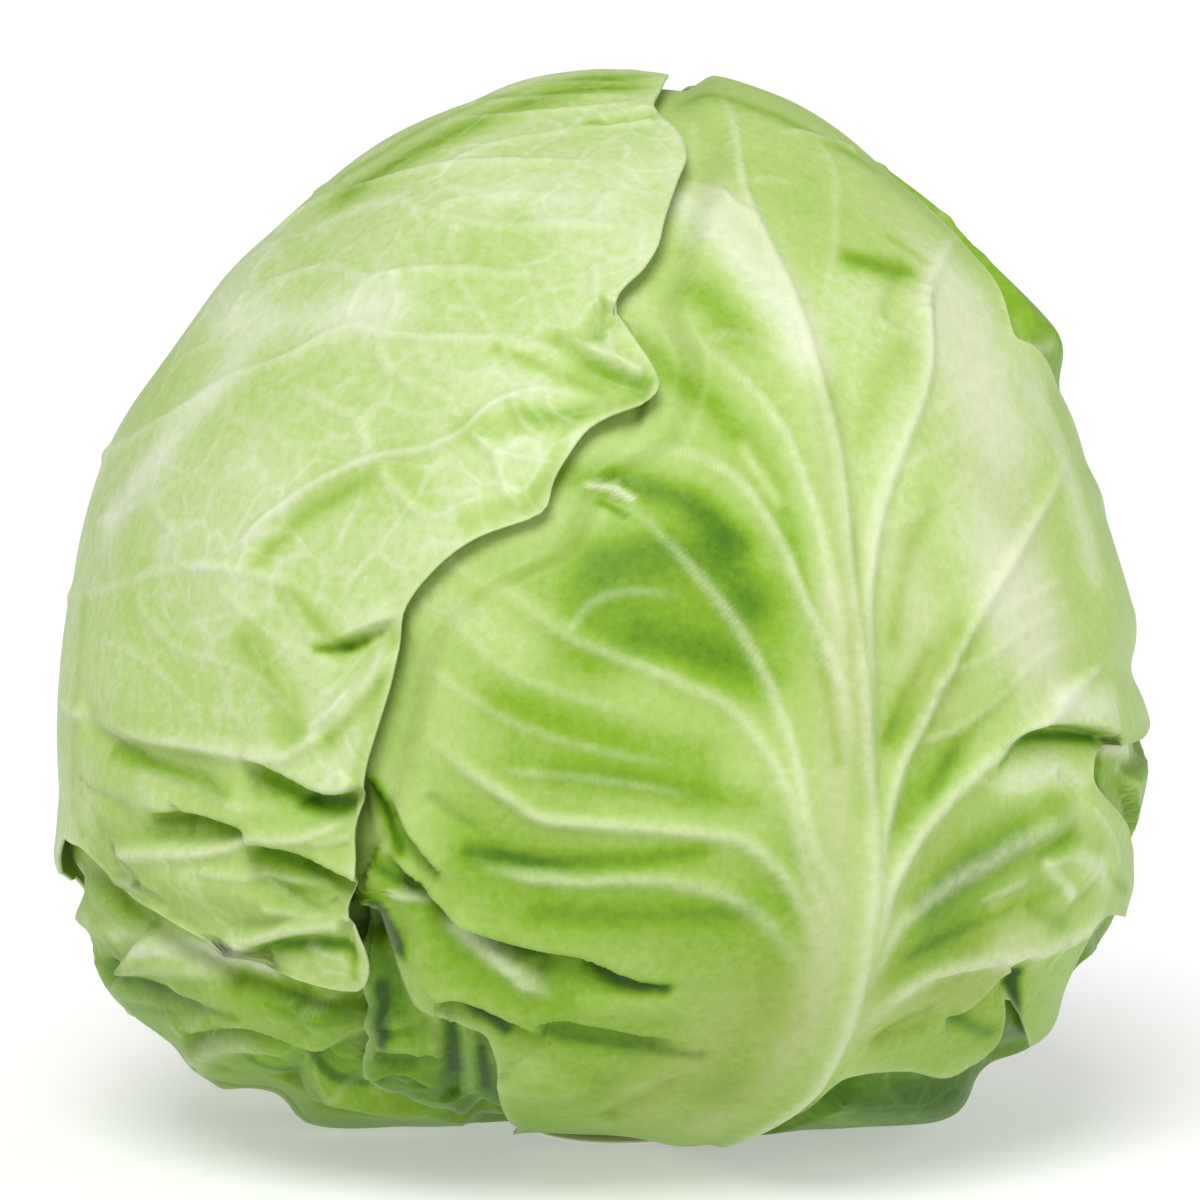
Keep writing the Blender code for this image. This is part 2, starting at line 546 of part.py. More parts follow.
def front_leaf():
    outline = [
        ("sketch", [
            (1014, 303), (1006, 331), (1018, 341), (1032, 346), (1046, 363), (1058, 388),
        ]),
        ("hidden", [(91, 22), (95, 14), (94, 5), (91, -3), (89, -8)]),
        ("sketch", [
            (1138, 742), (1112, 742), (1096, 754), (1090, 777), (1096, 797), (1110, 807), (1122, 820),
            (1130, 836),
        ]),
        ("hidden", [(88, -24), (89, -26.5), (84, -27.2), (79, -26)]),
        ("sketch", [
            (1112, 912), (1100, 918), (1088, 934), (1076, 962), (1062, 1000), (1055, 1026), (1040, 1044),
            (1026, 1048), (1018, 1010), (1011, 985), (1002, 1010), (998, 1040), (986, 1058), (967, 1064),
            (940, 1076), (913, 1071), (893, 1070), (865, 1068), (834, 1071), (816, 1082), (800, 1102),
        ]),
        ("foot", collar(26, -30, 5)),
        ("hidden", [(-34, -71)]),
        ("sketch", [(520, 1126), (508, 1118), (502, 1104), (500, 1084), (498, 1060), (488, 1034),
            (462, 1026),
                    (440, 1016), (423, 1012), (406, 996), (394, 979), (388, 963), (376, 930), (366, 905)]),
        ("hidden", [(-44, -22), (-50, -8), (-50, 8), (-44, 26), (-38, 44), (-44, 62), (-72, 78), (-150, 84),
                    (140, 78), (112, 66)]),
    ]
    lines = [
        # Midrib: a broad swelling with a narrow crest
        ("rib", (2.6, 0.6), (10.0, 3.0), (0.0, 0.15), 0, [
            (690, 1130), (752, 1112), (790, 1080), (812, 1040), (830, 970), (838, 906), (842, 830),
            (845, 772),
            (846, 676), (842, 600), (838, 536), (829, 450), (812, 382), (795, 305), (757, 229)]),
        ("rib", (1.6, 0.6), (3.2, 1.4), (0.0, 0.15), 0, [
            (722, 1132), (765, 1113), (799, 1086), (818, 1059), (841, 1013), (856, 964), (864, 906),
            (867, 830),
            (863, 772), (856, 676), (847, 600), (842, 536), (831, 450), (813, 382), (795, 305), (757, 229),
            (740, 185), (734, 124), (715, 80)]),
        ("rib", (0.9, 0.5), (1.8, 1.3), (0.05, 0.3), 0, [(757, 229), (734, 208), (711, 185), (691, 162)]),
        # Side ribs to the left
        ("rib", (1.2, 0.5), (2.4, 1.3), (0.25, 0.35), 0, [
            (846, 700), (838, 640), (830, 600), (814, 517), (799, 471), (784, 432), (761, 398), (734, 371),
            (696, 341), (657, 320), (623, 302)]),
        ("rib", (1.2, 0.6), (2.6, 1.5), (0.25, 0.35), 0, [
            (852, 780), (842, 700), (820, 640), (803, 600), (784, 551), (761, 509), (738, 478), (707, 459),
            (669, 446), (630, 446), (600, 455), (575, 467)]),
        ("rib", (1.3, 0.7), (2.8, 1.5), (0.25, 0.3), 0, [
            (852, 930), (820, 870), (803, 830), (799, 784), (784, 726), (765, 676), (742, 634), (708, 589),
            (685, 561), (639, 513), (605, 490), (585, 477)]),
        ("rib", (1.0, 0.5), (2.8, 1.4), (0.25, 0.3), 0, [
            (846, 970), (816, 900), (803, 868), (787, 791), (768, 753), (730, 704), (687, 686), (649, 668),
            (605, 653), (565, 638), (524, 607), (473, 556)]),
        ("rib", (0.8, 1.1), (2.6, 1.7), (0.3, 0.2), 0, [
            (838, 1000), (810, 925), (793, 886), (757, 847), (732, 834), (681, 828), (630, 825), (579, 821),
            (540, 819), (512, 797), (476, 774), (451, 754), (410, 723)]),
        ("rib", (0.5, 0.9), (2.8, 1.8), (0.35, 0.2), 0, [
            (820, 1000), (780, 935), (740, 900), (700, 885), (655, 876), (604, 879), (553, 880), (515, 876),
            (484, 868), (461, 853)]),
        # Folds of the lower left
        ("crease", (1.7, 0.3), (3.2, 2.4), (0.35, 0.7), 0, [
            (452, 836), (470, 848), (490, 856), (515, 865), (540, 869), (579, 862), (630, 852),
            (680, 848)]),
        ("fold", (1.4, 1.2), (4.6, 4.0), (0.05, 0.3), 3.2, [
            (362, 780), (380, 797), (397, 817), (415, 842), (434, 866), (452, 892)]),
        ("fold", (1.8, 0.9), (5.0, 4.0), (0.08, 0.5), 4.0, [
            (352, 852), (380, 860), (405, 875), (425, 895), (447, 916), (469, 931), (504, 944), (544, 953),
            (576, 957), (599, 966), (628, 980), (660, 986), (700, 982), (730, 972)]),
        ("crease", (4.2, 3.2), (4.4, 3.6), (0.0, 0.35), 0, [(364, 906), (381, 934), (394, 964)]),
        ("rib", (1.4, 1.0), (1.8, 1.6), (0.15, 0.3), 0, [(380, 902), (408, 900), (432, 908)]),
        ("rib", (1.8, 1.4), (3.0, 2.8), (0.15, 0.3), 0, [
            (436, 916), (458, 932), (479, 949), (504, 966), (529, 984), (560, 998)]),
        ("crease", (1.4, 1.0), (1.4, 1.2), (0.1, 0.3), 0, [(530, 986), (540, 970), (550, 958)]),
        ("rib", (1.6, 1.4), (4.6, 4.0), (0.2, 0.3), 0, [(560, 1004), (604, 1004), (650, 1002), (700, 994)]),
        ("fold", (1.0, 1.2), (3.6, 3.4), (0.02, 0.4), 3.4, [
            (436, 1004), (454, 1000), (469, 1003), (504, 1018), (530, 1030), (560, 1048)]),
        ("fold", (0.9, 0.7), (4.0, 3.4), (0.1, 0.4), 2.0, [
            (530, 1024), (554, 1021), (579, 1023), (616, 1033), (653, 1041), (703, 1043)]),
        ("rib", (2.0, 1.4), (7.0, 6.0), (0.2, 0.3), 0, [(506, 1064), (540, 1084), (600, 1088)]),
        ("crease", (1.2, 0.9), (3.0, 2.6), (0.05, 0.35), 0, [(606, 1118), (653, 1096), (703, 1066)]),
        # Side ribs to the right
        ("rib", (1.5, 0.7), (2.6, 1.4), (0.25, 0.2), 0, [
            (870, 800), (866, 720), (864, 657), (862, 600), (872, 528), (888, 472), (910, 420), (925, 380),
            (928, 338), (920, 302), (928, 280), (943, 254), (955, 230)]),
        ("rib", (1.5, 0.6), (2.8, 1.4), (0.25, 0.25), 0, [
            (866, 960), (873, 880), (879, 834), (888, 788), (905, 746), (924, 708), (943, 672), (968, 624),
            (993, 586), (1016, 550), (1039, 510), (1060, 472), (1071, 443)]),
        ("rib", (1.8, 0.9), (3.0, 1.8), (0.25, 0.25), 0, [
            (862, 985), (880, 900), (892, 870), (911, 838), (934, 807), (968, 773), (997, 752), (1027, 733),
            (1052, 712), (1077, 689), (1102, 664)]),
        ("fold", (1.0, 1.4), (4.4, 4.4), (0.35, 0.02), 3.2, [
            (984, 764), (1009, 741), (1034, 728), (1068, 726), (1096, 730), (1116, 738)]),
        ("rib", (1.6, 1.2), (3.2, 3.0), (0.25, 0.3), 0, [
            (858, 1010), (880, 948), (893, 927), (916, 904), (954, 881), (1005, 851), (1051, 825),
            (1094, 800)]),
        ("crease", (2.0, 1.6), (3.6, 3.4), (0.3, 0.4), 0, [
            (906, 904), (923, 893), (958, 866), (999, 842), (1027, 828), (1066, 812)]),
        ("crease", (1.5, 1.2), (3.6, 3.2), (0.3, 0.4), 0, [
            (896, 960), (950, 925), (1000, 900), (1050, 880), (1100, 862)]),
        ("rib", (1.8, 1.6), (3.2, 3.0), (0.25, 0.15), 0, [
            (850, 1030), (893, 991), (929, 973), (967, 963), (1005, 955), (1043, 948), (1080, 928),
            (1108, 904)]),
        ("fold", (1.0, 1.0), (3.4, 3.0), (0.2, 0.02), 2.6, [
            (944, 1022), (972, 1010), (992, 989), (1010, 968)]),
        ("crease", (2.6, 1.4), (2.8, 2.2), (0.0, 0.5), 0, [(1013, 992), (1018, 968), (1026, 946)]),
        ("crease", (1.4, 1.0), (2.6, 2.4), (0.2, 0.3), 0, [(866, 1046), (910, 1024), (950, 1012)]),
        ("crease", (1.4, 0.8), (3.0, 2.4), (0.2, 0.3), 0, [(888, 330), (896, 290), (904, 258)]),
        ("rib", (0.8, 0.5), (2.0, 1.6), (0.15, 0.3), 0, [(859, 152), (803, 134), (770, 132)]),
    ]
    return outline, lines


def tucked_leaf():
    outline = [
        ("sketch", [
            (352, 900), (372, 880), (420, 900), (470, 930), (530, 985), (575, 1040), (590, 1085),
            (564, 1112),
            (536, 1122), (514, 1120), (497, 1122), (480, 1111), (464, 1120), (450, 1109), (429, 1106),
            (403, 1094), (386, 1090), (372, 1082), (364, 1068), (366, 1050), (370, 1037), (362, 1016),
            (354, 990), (346, 960), (342, 930),
        ]),
    ]
    lines = [
        # Tongue
        ("rib", (2.6, 2.4), (2.4, 2.2), (0.1, 0.15), 0, [
            (350, 907), (364, 920), (373, 936), (385, 966), (400, 992), (418, 1012), (430, 1036),
            (440, 1064)]),
        ("crease", (2.2, 1.8), (2.2, 2.0), (0.1, 0.1), 0, [
            (356, 940), (370, 975), (384, 1006), (394, 1032)]),
        ("rib", (1.4, 1.2), (2.2, 2.0), (0.2, 0.2), 0, [(374, 1040), (400, 1046), (430, 1046)]),
        ("crease", (1.4, 1.2), (1.6, 1.5), (0.1, 0.1), 0, [(372, 1058), (398, 1062), (436, 1056)]),
        ("fold", (1.2, 1.2), (2.6, 2.4), (0.1, 0.1), 1.8, [
            (368, 1078), (394, 1072), (414, 1074), (433, 1088)]),
        # Two finger-like folds
        ("crease", (2.6, 2.4), (2.0, 1.9), (0.15, 0.02), 0, [
            (436, 1012), (446, 1040), (452, 1072), (453, 1104)]),
        ("rib", (2.6, 2.4), (2.1, 2.0), (0.2, 0.05), 0, [
            (456, 1008), (463, 1040), (464, 1075), (465, 1108)]),
        ("crease", (2.6, 2.4), (1.6, 1.5), (0.15, 0.02), 0, [(476, 1040), (479, 1068), (484, 1106)]),
        ("rib", (2.4, 2.2), (2.0, 1.9), (0.2, 0.05), 0, [
            (474, 1014), (487, 1042), (494, 1075), (504, 1108)]),
    ]
    return outline, lines


def lower_left_leaf():
    outline = [
        ("hidden", [(-28, -22), (-36, -6), (-60, 4), (-92, 2), (-118, -8), (-130, -24), (-133, -42),
            (-134, -56),
                    (-135, -67)]),
        ("foot", collar(-138, -30, 5)),
        ("hidden", [(-22, -70), (-9, -58), (-9, -46), (-20, -34)]),
    ]
    lines = [
        ("fold", (1.6, 1.4), (3.6, 3.4), (0.1, 0.2), 2.4, [
            (180, 908), (162, 919), (140, 937), (125, 956), (112, 975), (104, 992)]),
        ("rib", (2.6, 1.6), (3.4, 3.0), (0.1, 0.3), 0, [(50, 852), (64, 884), (92, 918), (112, 940)]),
        ("rib", (1.2, 0.9), (1.8, 1.6), (0.1, 0.2), 0, [
            (104, 970), (151, 967), (188, 970), (229, 972), (266, 982), (299, 990)]),
        ("crease", (2.4, 2.0), (3.0, 2.6), (0.1, 0.25), 0, [
            (96, 972), (132, 986), (169, 1000), (199, 1004), (240, 1010)]),
        ("rib", (1.5, 1.4), (4.8, 4.4), (0.2, 0.15), 0, [(160, 992), (230, 998), (290, 1012), (350, 1022)]),
        ("fold", (1.4, 1.6), (4.0, 3.6), (0.15, 0.05), 3.2, [
            (182, 1040), (199, 1030), (247, 1023), (277, 1033), (306, 1046), (336, 1053), (366, 1038)]),
        ("crease", (1.6, 1.3), (1.6, 1.5), (0.1, 0.2), 0, [
            (298, 986), (294, 1006), (297, 1022), (305, 1038)]),
        ("fold", (1.0, 1.2), (2.6, 2.4), (0.1, 0.1), 2.0, [
            (316, 1052), (330, 1062), (347, 1072), (364, 1064)]),
        ("rib", (1.6, 1.4), (4.0, 3.8), (0.2, 0.2), 0, [
            (194, 1066), (215, 1047), (250, 1043), (285, 1062)]),
        ("crease", (1.2, 1.0), (1.8, 1.6), (0.15, 0.2), 0, [
            (206, 1064), (239, 1054), (272, 1058), (290, 1074)]),
        ("crease", (1.8, 1.4), (2.2, 2.0), (0.05, 0.3), 0, [(290, 1084), (297, 1064), (300, 1046)]),
        ("rib", (1.6, 1.4), (4.8, 4.4), (0.2, 0.2), 0, [
            (312, 1086), (345, 1098), (385, 1106), (430, 1112)]),
        ("rib", (2.6, 1.2), (4.4, 2.4), (0.15, 0.3), 0, hidden_line(MIDRIB_LOWER_LEFT)),
    ]
    return outline, lines


def right_leaf():
    outline = [
        ("hidden", [(48, 4), (50, 26), (60, 46), (84, 62), (120, 72), (168, 74), (-156, 66), (-152, 44),
                    (-154, 22), (-152, 2), (-154, -20), (-160, -40), (-172, -58)]),
        ("foot", collar(176, 30, 6)),
        ("hidden", [(20, -66), (26, -48), (38, -30), (44, -14)]),
    ]
    lines = [
        ("rib", (3.6, 1.0), (5.4, 2.0), (0.15, 0.3), 0, hidden_line(MIDRIB_RIGHT)),
        ("rib", (1.0, 0.7), (1.8, 1.5), (0.1, 0.2), 0, [
            (1012, 296), (1025, 329), (1040, 341), (1062, 342)]),
        ("rib", (1.2, 0.9), (2.6, 2.2), (0.1, 0.1), 0, [(1094, 748), (1120, 750), (1146, 754)]),
    ]
    return outline, lines


BLADES = {
    "left_leaf": dict(middle=(-97, 10), build=left_leaf, swell=0.5, ruffle=0.9, seed=11, triangles=3500),
    "front_leaf": dict(middle=(27, 4), build=front_leaf, swell=0.5, ruffle=0.7, seed=23, triangles=3600),
    "tucked_leaf": dict(middle=(-18, -37), build=tucked_leaf, swell=0.2, ruffle=0.3, seed=37, triangles=1500),
    "lower_left_leaf": dict(middle=(-72, -34), build=lower_left_leaf, swell=0.5, ruffle=0.5, seed=41,
                            triangles=2100),
    "right_leaf": dict(middle=(126, 2), build=right_leaf, swell=0.6, ruffle=0.9, seed=53, triangles=2000),
}

COLOURS = {
    "left_leaf": (0.52, 0.72, 0.30, 1.0),
    "front_leaf": (0.45, 0.66, 0.26, 1.0),
    "tucked_leaf": (0.42, 0.62, 0.20, 1.0),
    "lower_left_leaf": (0.40, 0.62, 0.18, 1.0),
    "right_leaf": (0.30, 0.50, 0.10, 1.0),
    "heart": (0.72, 0.80, 0.50, 1.0),
    "stalk": (0.78, 0.80, 0.56, 1.0),
}


def place(directions, radius):
    """Points in metres from directions and radii in millimetres."""
    middle = np.array((*MIDDLE_SHIFT, MIDDLE_HEIGHT))
    return (directions * radius[:, None] + middle) * MM


def material(name):
    made = bpy.data.materials.new(name)
    made.use_nodes = True
    shader = made.node_tree.nodes["Principled BSDF"]
    shader.inputs["Base Color"].default_value = COLOURS[name]
    shader.inputs["Roughness"].default_value = ROUGHNESS
    made.diffuse_color = COLOURS[name]
    return made


def add_object(name, mesh, smooth=True):
    made = bpy.data.objects.new(name, mesh)
    bpy.context.scene.collection.objects.link(made)
    mesh.materials.append(material(name))
    mesh.polygons.foreach_set("use_smooth", [smooth] * len(mesh.polygons))
    return made


def grid_mesh(points, cells):
    """A sheet of quads through a square grid of points."""
    mesh = bmesh.new()
    corners = [mesh.verts.new(point) for point in points]
    row = cells + 1
    for i in range(cells):
        for j in range(cells):
            a = i * row + j
            mesh.faces.new((corners[a], corners[a + row], corners[a + row + 1], corners[a + 1]))
    return mesh


def thinned(points, cells, triangles):
    """The sheet's points and triangles after thinning it where it is even."""
    sheet = bpy.data.meshes.new("sheet")
    work = grid_mesh(points, cells)
    bmesh.ops.triangulate(work, faces=work.faces[:])
    share = triangles / len(work.faces)
    work.to_mesh(sheet)
    work.free()
    holder = bpy.data.objects.new("sheet", sheet)
    bpy.context.scene.collection.objects.link(holder)
    thin = holder.modifiers.new("Thin", "DECIMATE")
    thin.ratio = share
    thin.use_collapse_triangulate = True
    bpy.context.view_layer.update()
    done = holder.evaluated_get(bpy.context.evaluated_depsgraph_get()).to_mesh()
    done.calc_loop_triangles()
    places = np.empty(len(done.vertices) * 3)
    done.vertices.foreach_get("co", places)
    corners = np.empty(len(done.loop_triangles) * 3, int)
    done.loop_triangles.foreach_get("vertices", corners)
    bpy.data.objects.remove(holder)
    bpy.data.meshes.remove(sheet)
    return places.reshape(-1, 3), corners.reshape(-1, 3)


def outward(points, faces):
    """Turn the sheet so that it faces away from the head's middle."""
    middle = np.array((*MIDDLE_SHIFT, MIDDLE_HEIGHT)) * MM
    a, b, c = (points[faces[:, k]] - middle for k in range(3))
    facing = np.einsum("ij,ij->i", np.cross(b - a, c - a), a)
    return faces if facing.sum() > 0 else faces[:, ::-1]


def blade_solid(name, points, faces):
    """Close a sheet with a second face below it and a rim between them."""
    middle = np.array((*MIDDLE_SHIFT, MIDDLE_HEIGHT)) * MM
    radius = np.linalg.norm(points - middle, axis=1)
    inner = middle + (points - middle) * (1 - BLADE_THICKNESS * MM / radius)[:, None]
    count = len(points)
    edges = {}
    for face in faces.tolist():
        for k in range(3):
            a, b = face[k], face[(k + 1) % 3]
            edges[(a, b)] = True
    rim = [(a, b) for a, b in edges if (b, a) not in edges]
    solid = bmesh.new()
    corners = [solid.verts.new(point) for point in np.concatenate([points, inner])]
    for a, b, c in faces.tolist():
        solid.faces.new((corners[a], corners[b], corners[c]))
        solid.faces.new((corners[count + c], corners[count + b], corners[count + a]))
    for a, b in rim:
        solid.faces.new((corners[b], corners[a], corners[count + a]))
        solid.faces.new((corners[b], corners[count + a], corners[count + b]))
    mesh = bpy.data.meshes.new(name)
    solid.to_mesh(mesh)
    solid.free()
    return add_object(name, mesh)


def build_blades():
    blades = []
    for name, facts in BLADES.items():
        outline, lines = facts["build"]()
        relief = [Stroke(*line) for line in lines]
        blade = Blade(name, facts["middle"], outline, relief, facts["swell"], facts["ruffle"], facts["seed"])
        blades.append(blade)
    for number, blade in enumerate(blades):
        directions = blade.sheet_directions(SHEET_CELLS)
        points = place(directions, surface_radius(blades, number, directions))
        points, faces = thinned(points, SHEET_CELLS, BLADES[blade.name]["triangles"] // 2)
        blade_solid(blade.name, points, outward(points, faces))


def build_heart():
    """The tight inner head, a closed ball a little below the blades."""
    ball = bmesh.new()
    bmesh.ops.create_icosphere(ball, subdivisions=HEART_SUBDIVISIONS, radius=1.0)
    directions = np.array([vert.co[:] for vert in ball.verts])
    directions /= np.linalg.norm(directions, axis=1)[:, None]
    radius = above_floor(directions, bare_radius(directions)) - HEART_DEPTH
    for vert, point in zip(ball.verts, place(directions, radius)):
        vert.co = point
    mesh = bpy.data.meshes.new("heart")
    ball.to_mesh(mesh)
    ball.free()
    return add_object("heart", mesh)


def build_stalk():
    """The cut stump, turned about its own axis, with a flat lower face."""
    rings = [
        (STALK_RADIUS - STALK_CHAMFER, 0.0),
        (STALK_RADIUS, STALK_CHAMFER),
        (STALK_RADIUS, STALK_NECK_HEIGHT - STALK_CHAMFER),
        (STALK_NECK_RADIUS, STALK_NECK_HEIGHT + STALK_CHAMFER),
        (STALK_NECK_RADIUS, STALK_TOP),
    ]
    solid = bmesh.new()
    loops = []
    for radius, height in rings:
        loop = []
        for side in range(STALK_SIDES):
            turn = 2 * math.pi * side / STALK_SIDES
            x = STALK_X + MIDDLE_SHIFT[0] + radius * math.cos(turn)
            y = MIDDLE_SHIFT[1] + radius * math.sin(turn)
            loop.append(solid.verts.new((x * MM, y * MM, height * MM)))
        loops.append(loop)
    for lower, upper in zip(loops, loops[1:]):
        for side in range(STALK_SIDES):
            after = (side + 1) % STALK_SIDES
            solid.faces.new((lower[side], lower[after], upper[after], upper[side]))
    solid.faces.new(loops[0][::-1])
    solid.faces.new(loops[-1])
    mesh = bpy.data.meshes.new("stalk")
    solid.to_mesh(mesh)
    solid.free()
    return add_object("stalk", mesh)


def main():
    for old in list(bpy.data.objects):
        bpy.data.objects.remove(old)
    build_blades()
    build_heart()
    build_stalk()


main()
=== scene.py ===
import math

import bmesh
import bpy
import numpy as np
from bpy.props import FloatProperty, FloatVectorProperty, PointerProperty
from bpy.types import Operator, Panel, PropertyGroup
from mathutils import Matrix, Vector


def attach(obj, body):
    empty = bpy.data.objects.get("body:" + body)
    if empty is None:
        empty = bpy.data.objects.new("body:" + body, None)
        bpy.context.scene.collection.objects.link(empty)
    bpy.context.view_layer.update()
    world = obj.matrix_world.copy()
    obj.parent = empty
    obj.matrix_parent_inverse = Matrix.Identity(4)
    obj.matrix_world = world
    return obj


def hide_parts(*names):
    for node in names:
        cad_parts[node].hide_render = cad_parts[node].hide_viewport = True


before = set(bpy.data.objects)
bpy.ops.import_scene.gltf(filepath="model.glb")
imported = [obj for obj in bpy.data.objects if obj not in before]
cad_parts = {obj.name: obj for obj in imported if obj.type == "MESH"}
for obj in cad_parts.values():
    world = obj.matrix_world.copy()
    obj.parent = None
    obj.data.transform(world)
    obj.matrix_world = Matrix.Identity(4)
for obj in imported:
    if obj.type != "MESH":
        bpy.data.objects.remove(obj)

bl_info = {
    "name": "Cabbage Head",
    "version": (1, 0, 0),
    "blender": (4, 5, 0),
    "location": "View3D > Sidebar > Cabbage",
    "description": "Builds a leafy cabbage head around its packed part",
    "category": "Add Mesh",
}

MM = 0.001

# Overall dimensions, in millimetres
HEAD_WIDTH = 180.0
MIDDLE_HEIGHT = 81.5
MIDDLE_SHIFT = (0.0, 2.37)
SKETCH_WIDTH = 1093.0
SKETCH_MIDDLE = (602.0, 640.0)
SKETCH_TILT = 9.0
SKETCH_DISTANCE = 1500.0
STEP = HEAD_WIDTH / SKETCH_WIDTH
MEAN_RADIUS = 90.0

# Blade sheets
BLADE_THICKNESS = 1.0
BLADE_GAP = 1.2
TUCK_LENGTH = 6.0
TUCK_MARGIN = 2.2
GRID_PULL = 0.38
FLOOR_CLEARANCE = 0.9
FLOOR_SOFTNESS = 1.5
BELOW_LEVEL = 0.05

# Stalk, and the ring of the blades' feet round it
STALK_X = 3.0
COLLAR_ANGLE = 12.6

# Width of the blend that carries the sketched outline round the two sides, as a share of the radius
LIMB_SPREAD = 0.34

# Profiles across the drawn lines: softness of a groove's bottom and of a fold's edge, in millimetres
GROOVE_SOFTNESS = 0.6
FOLD_SOFTNESS = 0.5
COVER_SPREAD = 3.0
REACH = 3.0
# Share of a line's stated width that is built, for narrow and for broad lines
LINE_SHARES = {"rib": (0.7, 0.82), "crease": (0.75, 0.85), "fold": (0.85, 1.0)}
NARROW_LINE = 1.5
BROAD_LINE = 5.0

# Waves of a blade's surface and of its margin
SWELL_WAVE = 34.0
RUFFLE_WAVE = 17.0
RUFFLE_DEPTH = 4.5
RUFFLE_LEVEL = 0.55
WAVE_COUNT = 9
WAVE_SPREAD = (0.75, 1.35)
MARGIN_TURNS = (7, 11, 17, 23, 31)
MARGIN_WAVE = 0.16
LEAST_TURN = 0.25

# Rounding of the closed tables, in entries
FINE_ROUNDING = 1.6
BROAD_ROUNDING = 18.0
PROFILE_ROUNDING = 14.0
EDGE_ROUNDING = 1.8
COVER_ROUNDING = 3.0
EVEN_ROUNDING = 12.0
COVER_REACH = 8
PROFILE_STEP = 15.0
POLE_START = 0.97
TINY = 1e-9

# Search along a line of sight, in millimetres in front of the middle
SIGHT_START = 112.0
SIGHT_END = -30.0
SIGHT_STEP = 0.5

# Outline of the head on the front sketch
OUTLINE_RIGHT = [
    (602, 70), (640, 70), (672, 72), (720, 80), (790, 105), (855, 145), (905, 185), (945, 220), (976, 252),
    (1014, 285), (1035, 304), (1060, 331), (1066, 350), (1062, 367), (1058, 384), (1069, 416), (1084, 462),
    (1098, 489), (1102, 515), (1113, 546), (1128, 603), (1133, 617), (1132, 643), (1124, 670), (1142, 706),
    (1149, 760), (1148, 781), (1140, 815), (1132, 840), (1135, 886), (1124, 914), (1120, 930), (1102, 945),
    (1078, 962), (1066, 981), (1060, 999), (1056, 1024), (1041, 1044), (1018, 1055), (990, 1060),
    (972, 1074), (972, 1090), (959, 1113), (936, 1123), (860, 1124), (801, 1124), (722, 1134), (640, 1132),
    (602, 1130)]
OUTLINE_LEFT = [
    (602, 70), (540, 82), (440, 115), (345, 170), (270, 235), (200, 310), (150, 380), (107, 460), (75, 580),
    (62, 640), (55, 720), (60, 790), (58, 830), (55, 859), (68, 879), (81, 895), (90, 923), (98, 943),
    (96, 959), (104, 981), (119, 1002), (140, 1020), (178, 1045), (188, 1063), (209, 1077), (234, 1082),
    (265, 1081), (288, 1085), (298, 1101), (308, 1117), (323, 1126), (349, 1128), (400, 1124), (464, 1121),
    (532, 1127), (602, 1130)]
# Front and back profiles: radius every 15 degrees from the top down
FRONT_PROFILE = [93.9, 91.5, 88.5, 86.5, 85.5, 86.0, 88.0, 91.0, 93.5, 93.0, 88.0, 83.0, 81.0]
BACK_PROFILE = [93.9, 91.0, 87.5, 85.5, 85.0, 86.0, 88.0, 90.5, 93.0, 93.5, 90.0, 83.5, 81.0]

TABLE = 720


def unit(azimuth, elevation):
    """Direction from the middle; azimuth 0 is the front, 90 the right."""
    az, el = math.radians(azimuth), math.radians(elevation)
    return np.array((math.sin(az) * math.cos(el), -math.cos(az) * math.cos(el), math.sin(el)))


RIGHT = np.array((1.0, 0.0, 0.0))
UP = np.array((0.0, math.sin(math.radians(SKETCH_TILT)), math.cos(math.radians(SKETCH_TILT))))
NEAR = np.cross(RIGHT, UP)
STALK_AXIS = np.array((STALK_X, 0.0, -MIDDLE_HEIGHT)) / math.hypot(STALK_X, MIDDLE_HEIGHT)


def smoothstep(x):
    x = np.clip(x, 0.0, 1.0)
    return x * x * (3.0 - 2.0 * x)


def loop_smooth(values, sigma):
    """Round a closed table with a Gaussian of sigma entries."""
    reach = int(3 * sigma) + 1
    offsets = np.arange(-reach, reach + 1)
    weights = np.exp(-0.5 * (offsets / sigma) ** 2)
    weights /= weights.sum()
    padded = np.concatenate([values[-reach:], values, values[:reach]])
    return np.convolve(padded, weights, mode="valid")


def loop_read(table, angle):
    """Read a closed table at angles in radians."""
    place = (angle / (2 * math.pi) % 1.0) * len(table)
    low = np.floor(place).astype(int) % len(table)
    share = place - np.floor(place)
    return table[low] * (1 - share) + table[(low + 1) % len(table)] * share


def outline_table():
    """Radius of the sketched outline by angle round the sketch's middle, from the right over the top."""
    drawn = np.array(OUTLINE_RIGHT[::-1] + OUTLINE_LEFT[1:-1], float)
    across = (drawn[:, 0] - SKETCH_MIDDLE[0]) * STEP
    above = (SKETCH_MIDDLE[1] - drawn[:, 1]) * STEP
    angle = np.arctan2(above, across) % (2 * math.pi)
    order = np.argsort(angle)
    angles = np.arange(TABLE) * 2 * math.pi / TABLE
    return np.interp(angles, angle[order], np.hypot(across, above)[order], period=2 * math.pi)


def profile_table():
    """The front and back profiles as one closed table, from the front over the top."""
    loop = FRONT_PROFILE[::-1] + BACK_PROFILE[1:-1]
    stations = np.radians(np.arange(len(loop)) * PROFILE_STEP - 90.0) % (2 * math.pi)
    order = np.argsort(stations)
    angles = np.arange(TABLE) * 2 * math.pi / TABLE
    table = np.interp(angles, stations[order], np.array(loop)[order], period=2 * math.pi)
    return loop_smooth(table, PROFILE_ROUNDING)


SIDE_FINE = loop_smooth(outline_table(), FINE_ROUNDING)
SIDE_TABLE = loop_smooth(SIDE_FINE, BROAD_ROUNDING)
DEPTH_TABLE = profile_table()


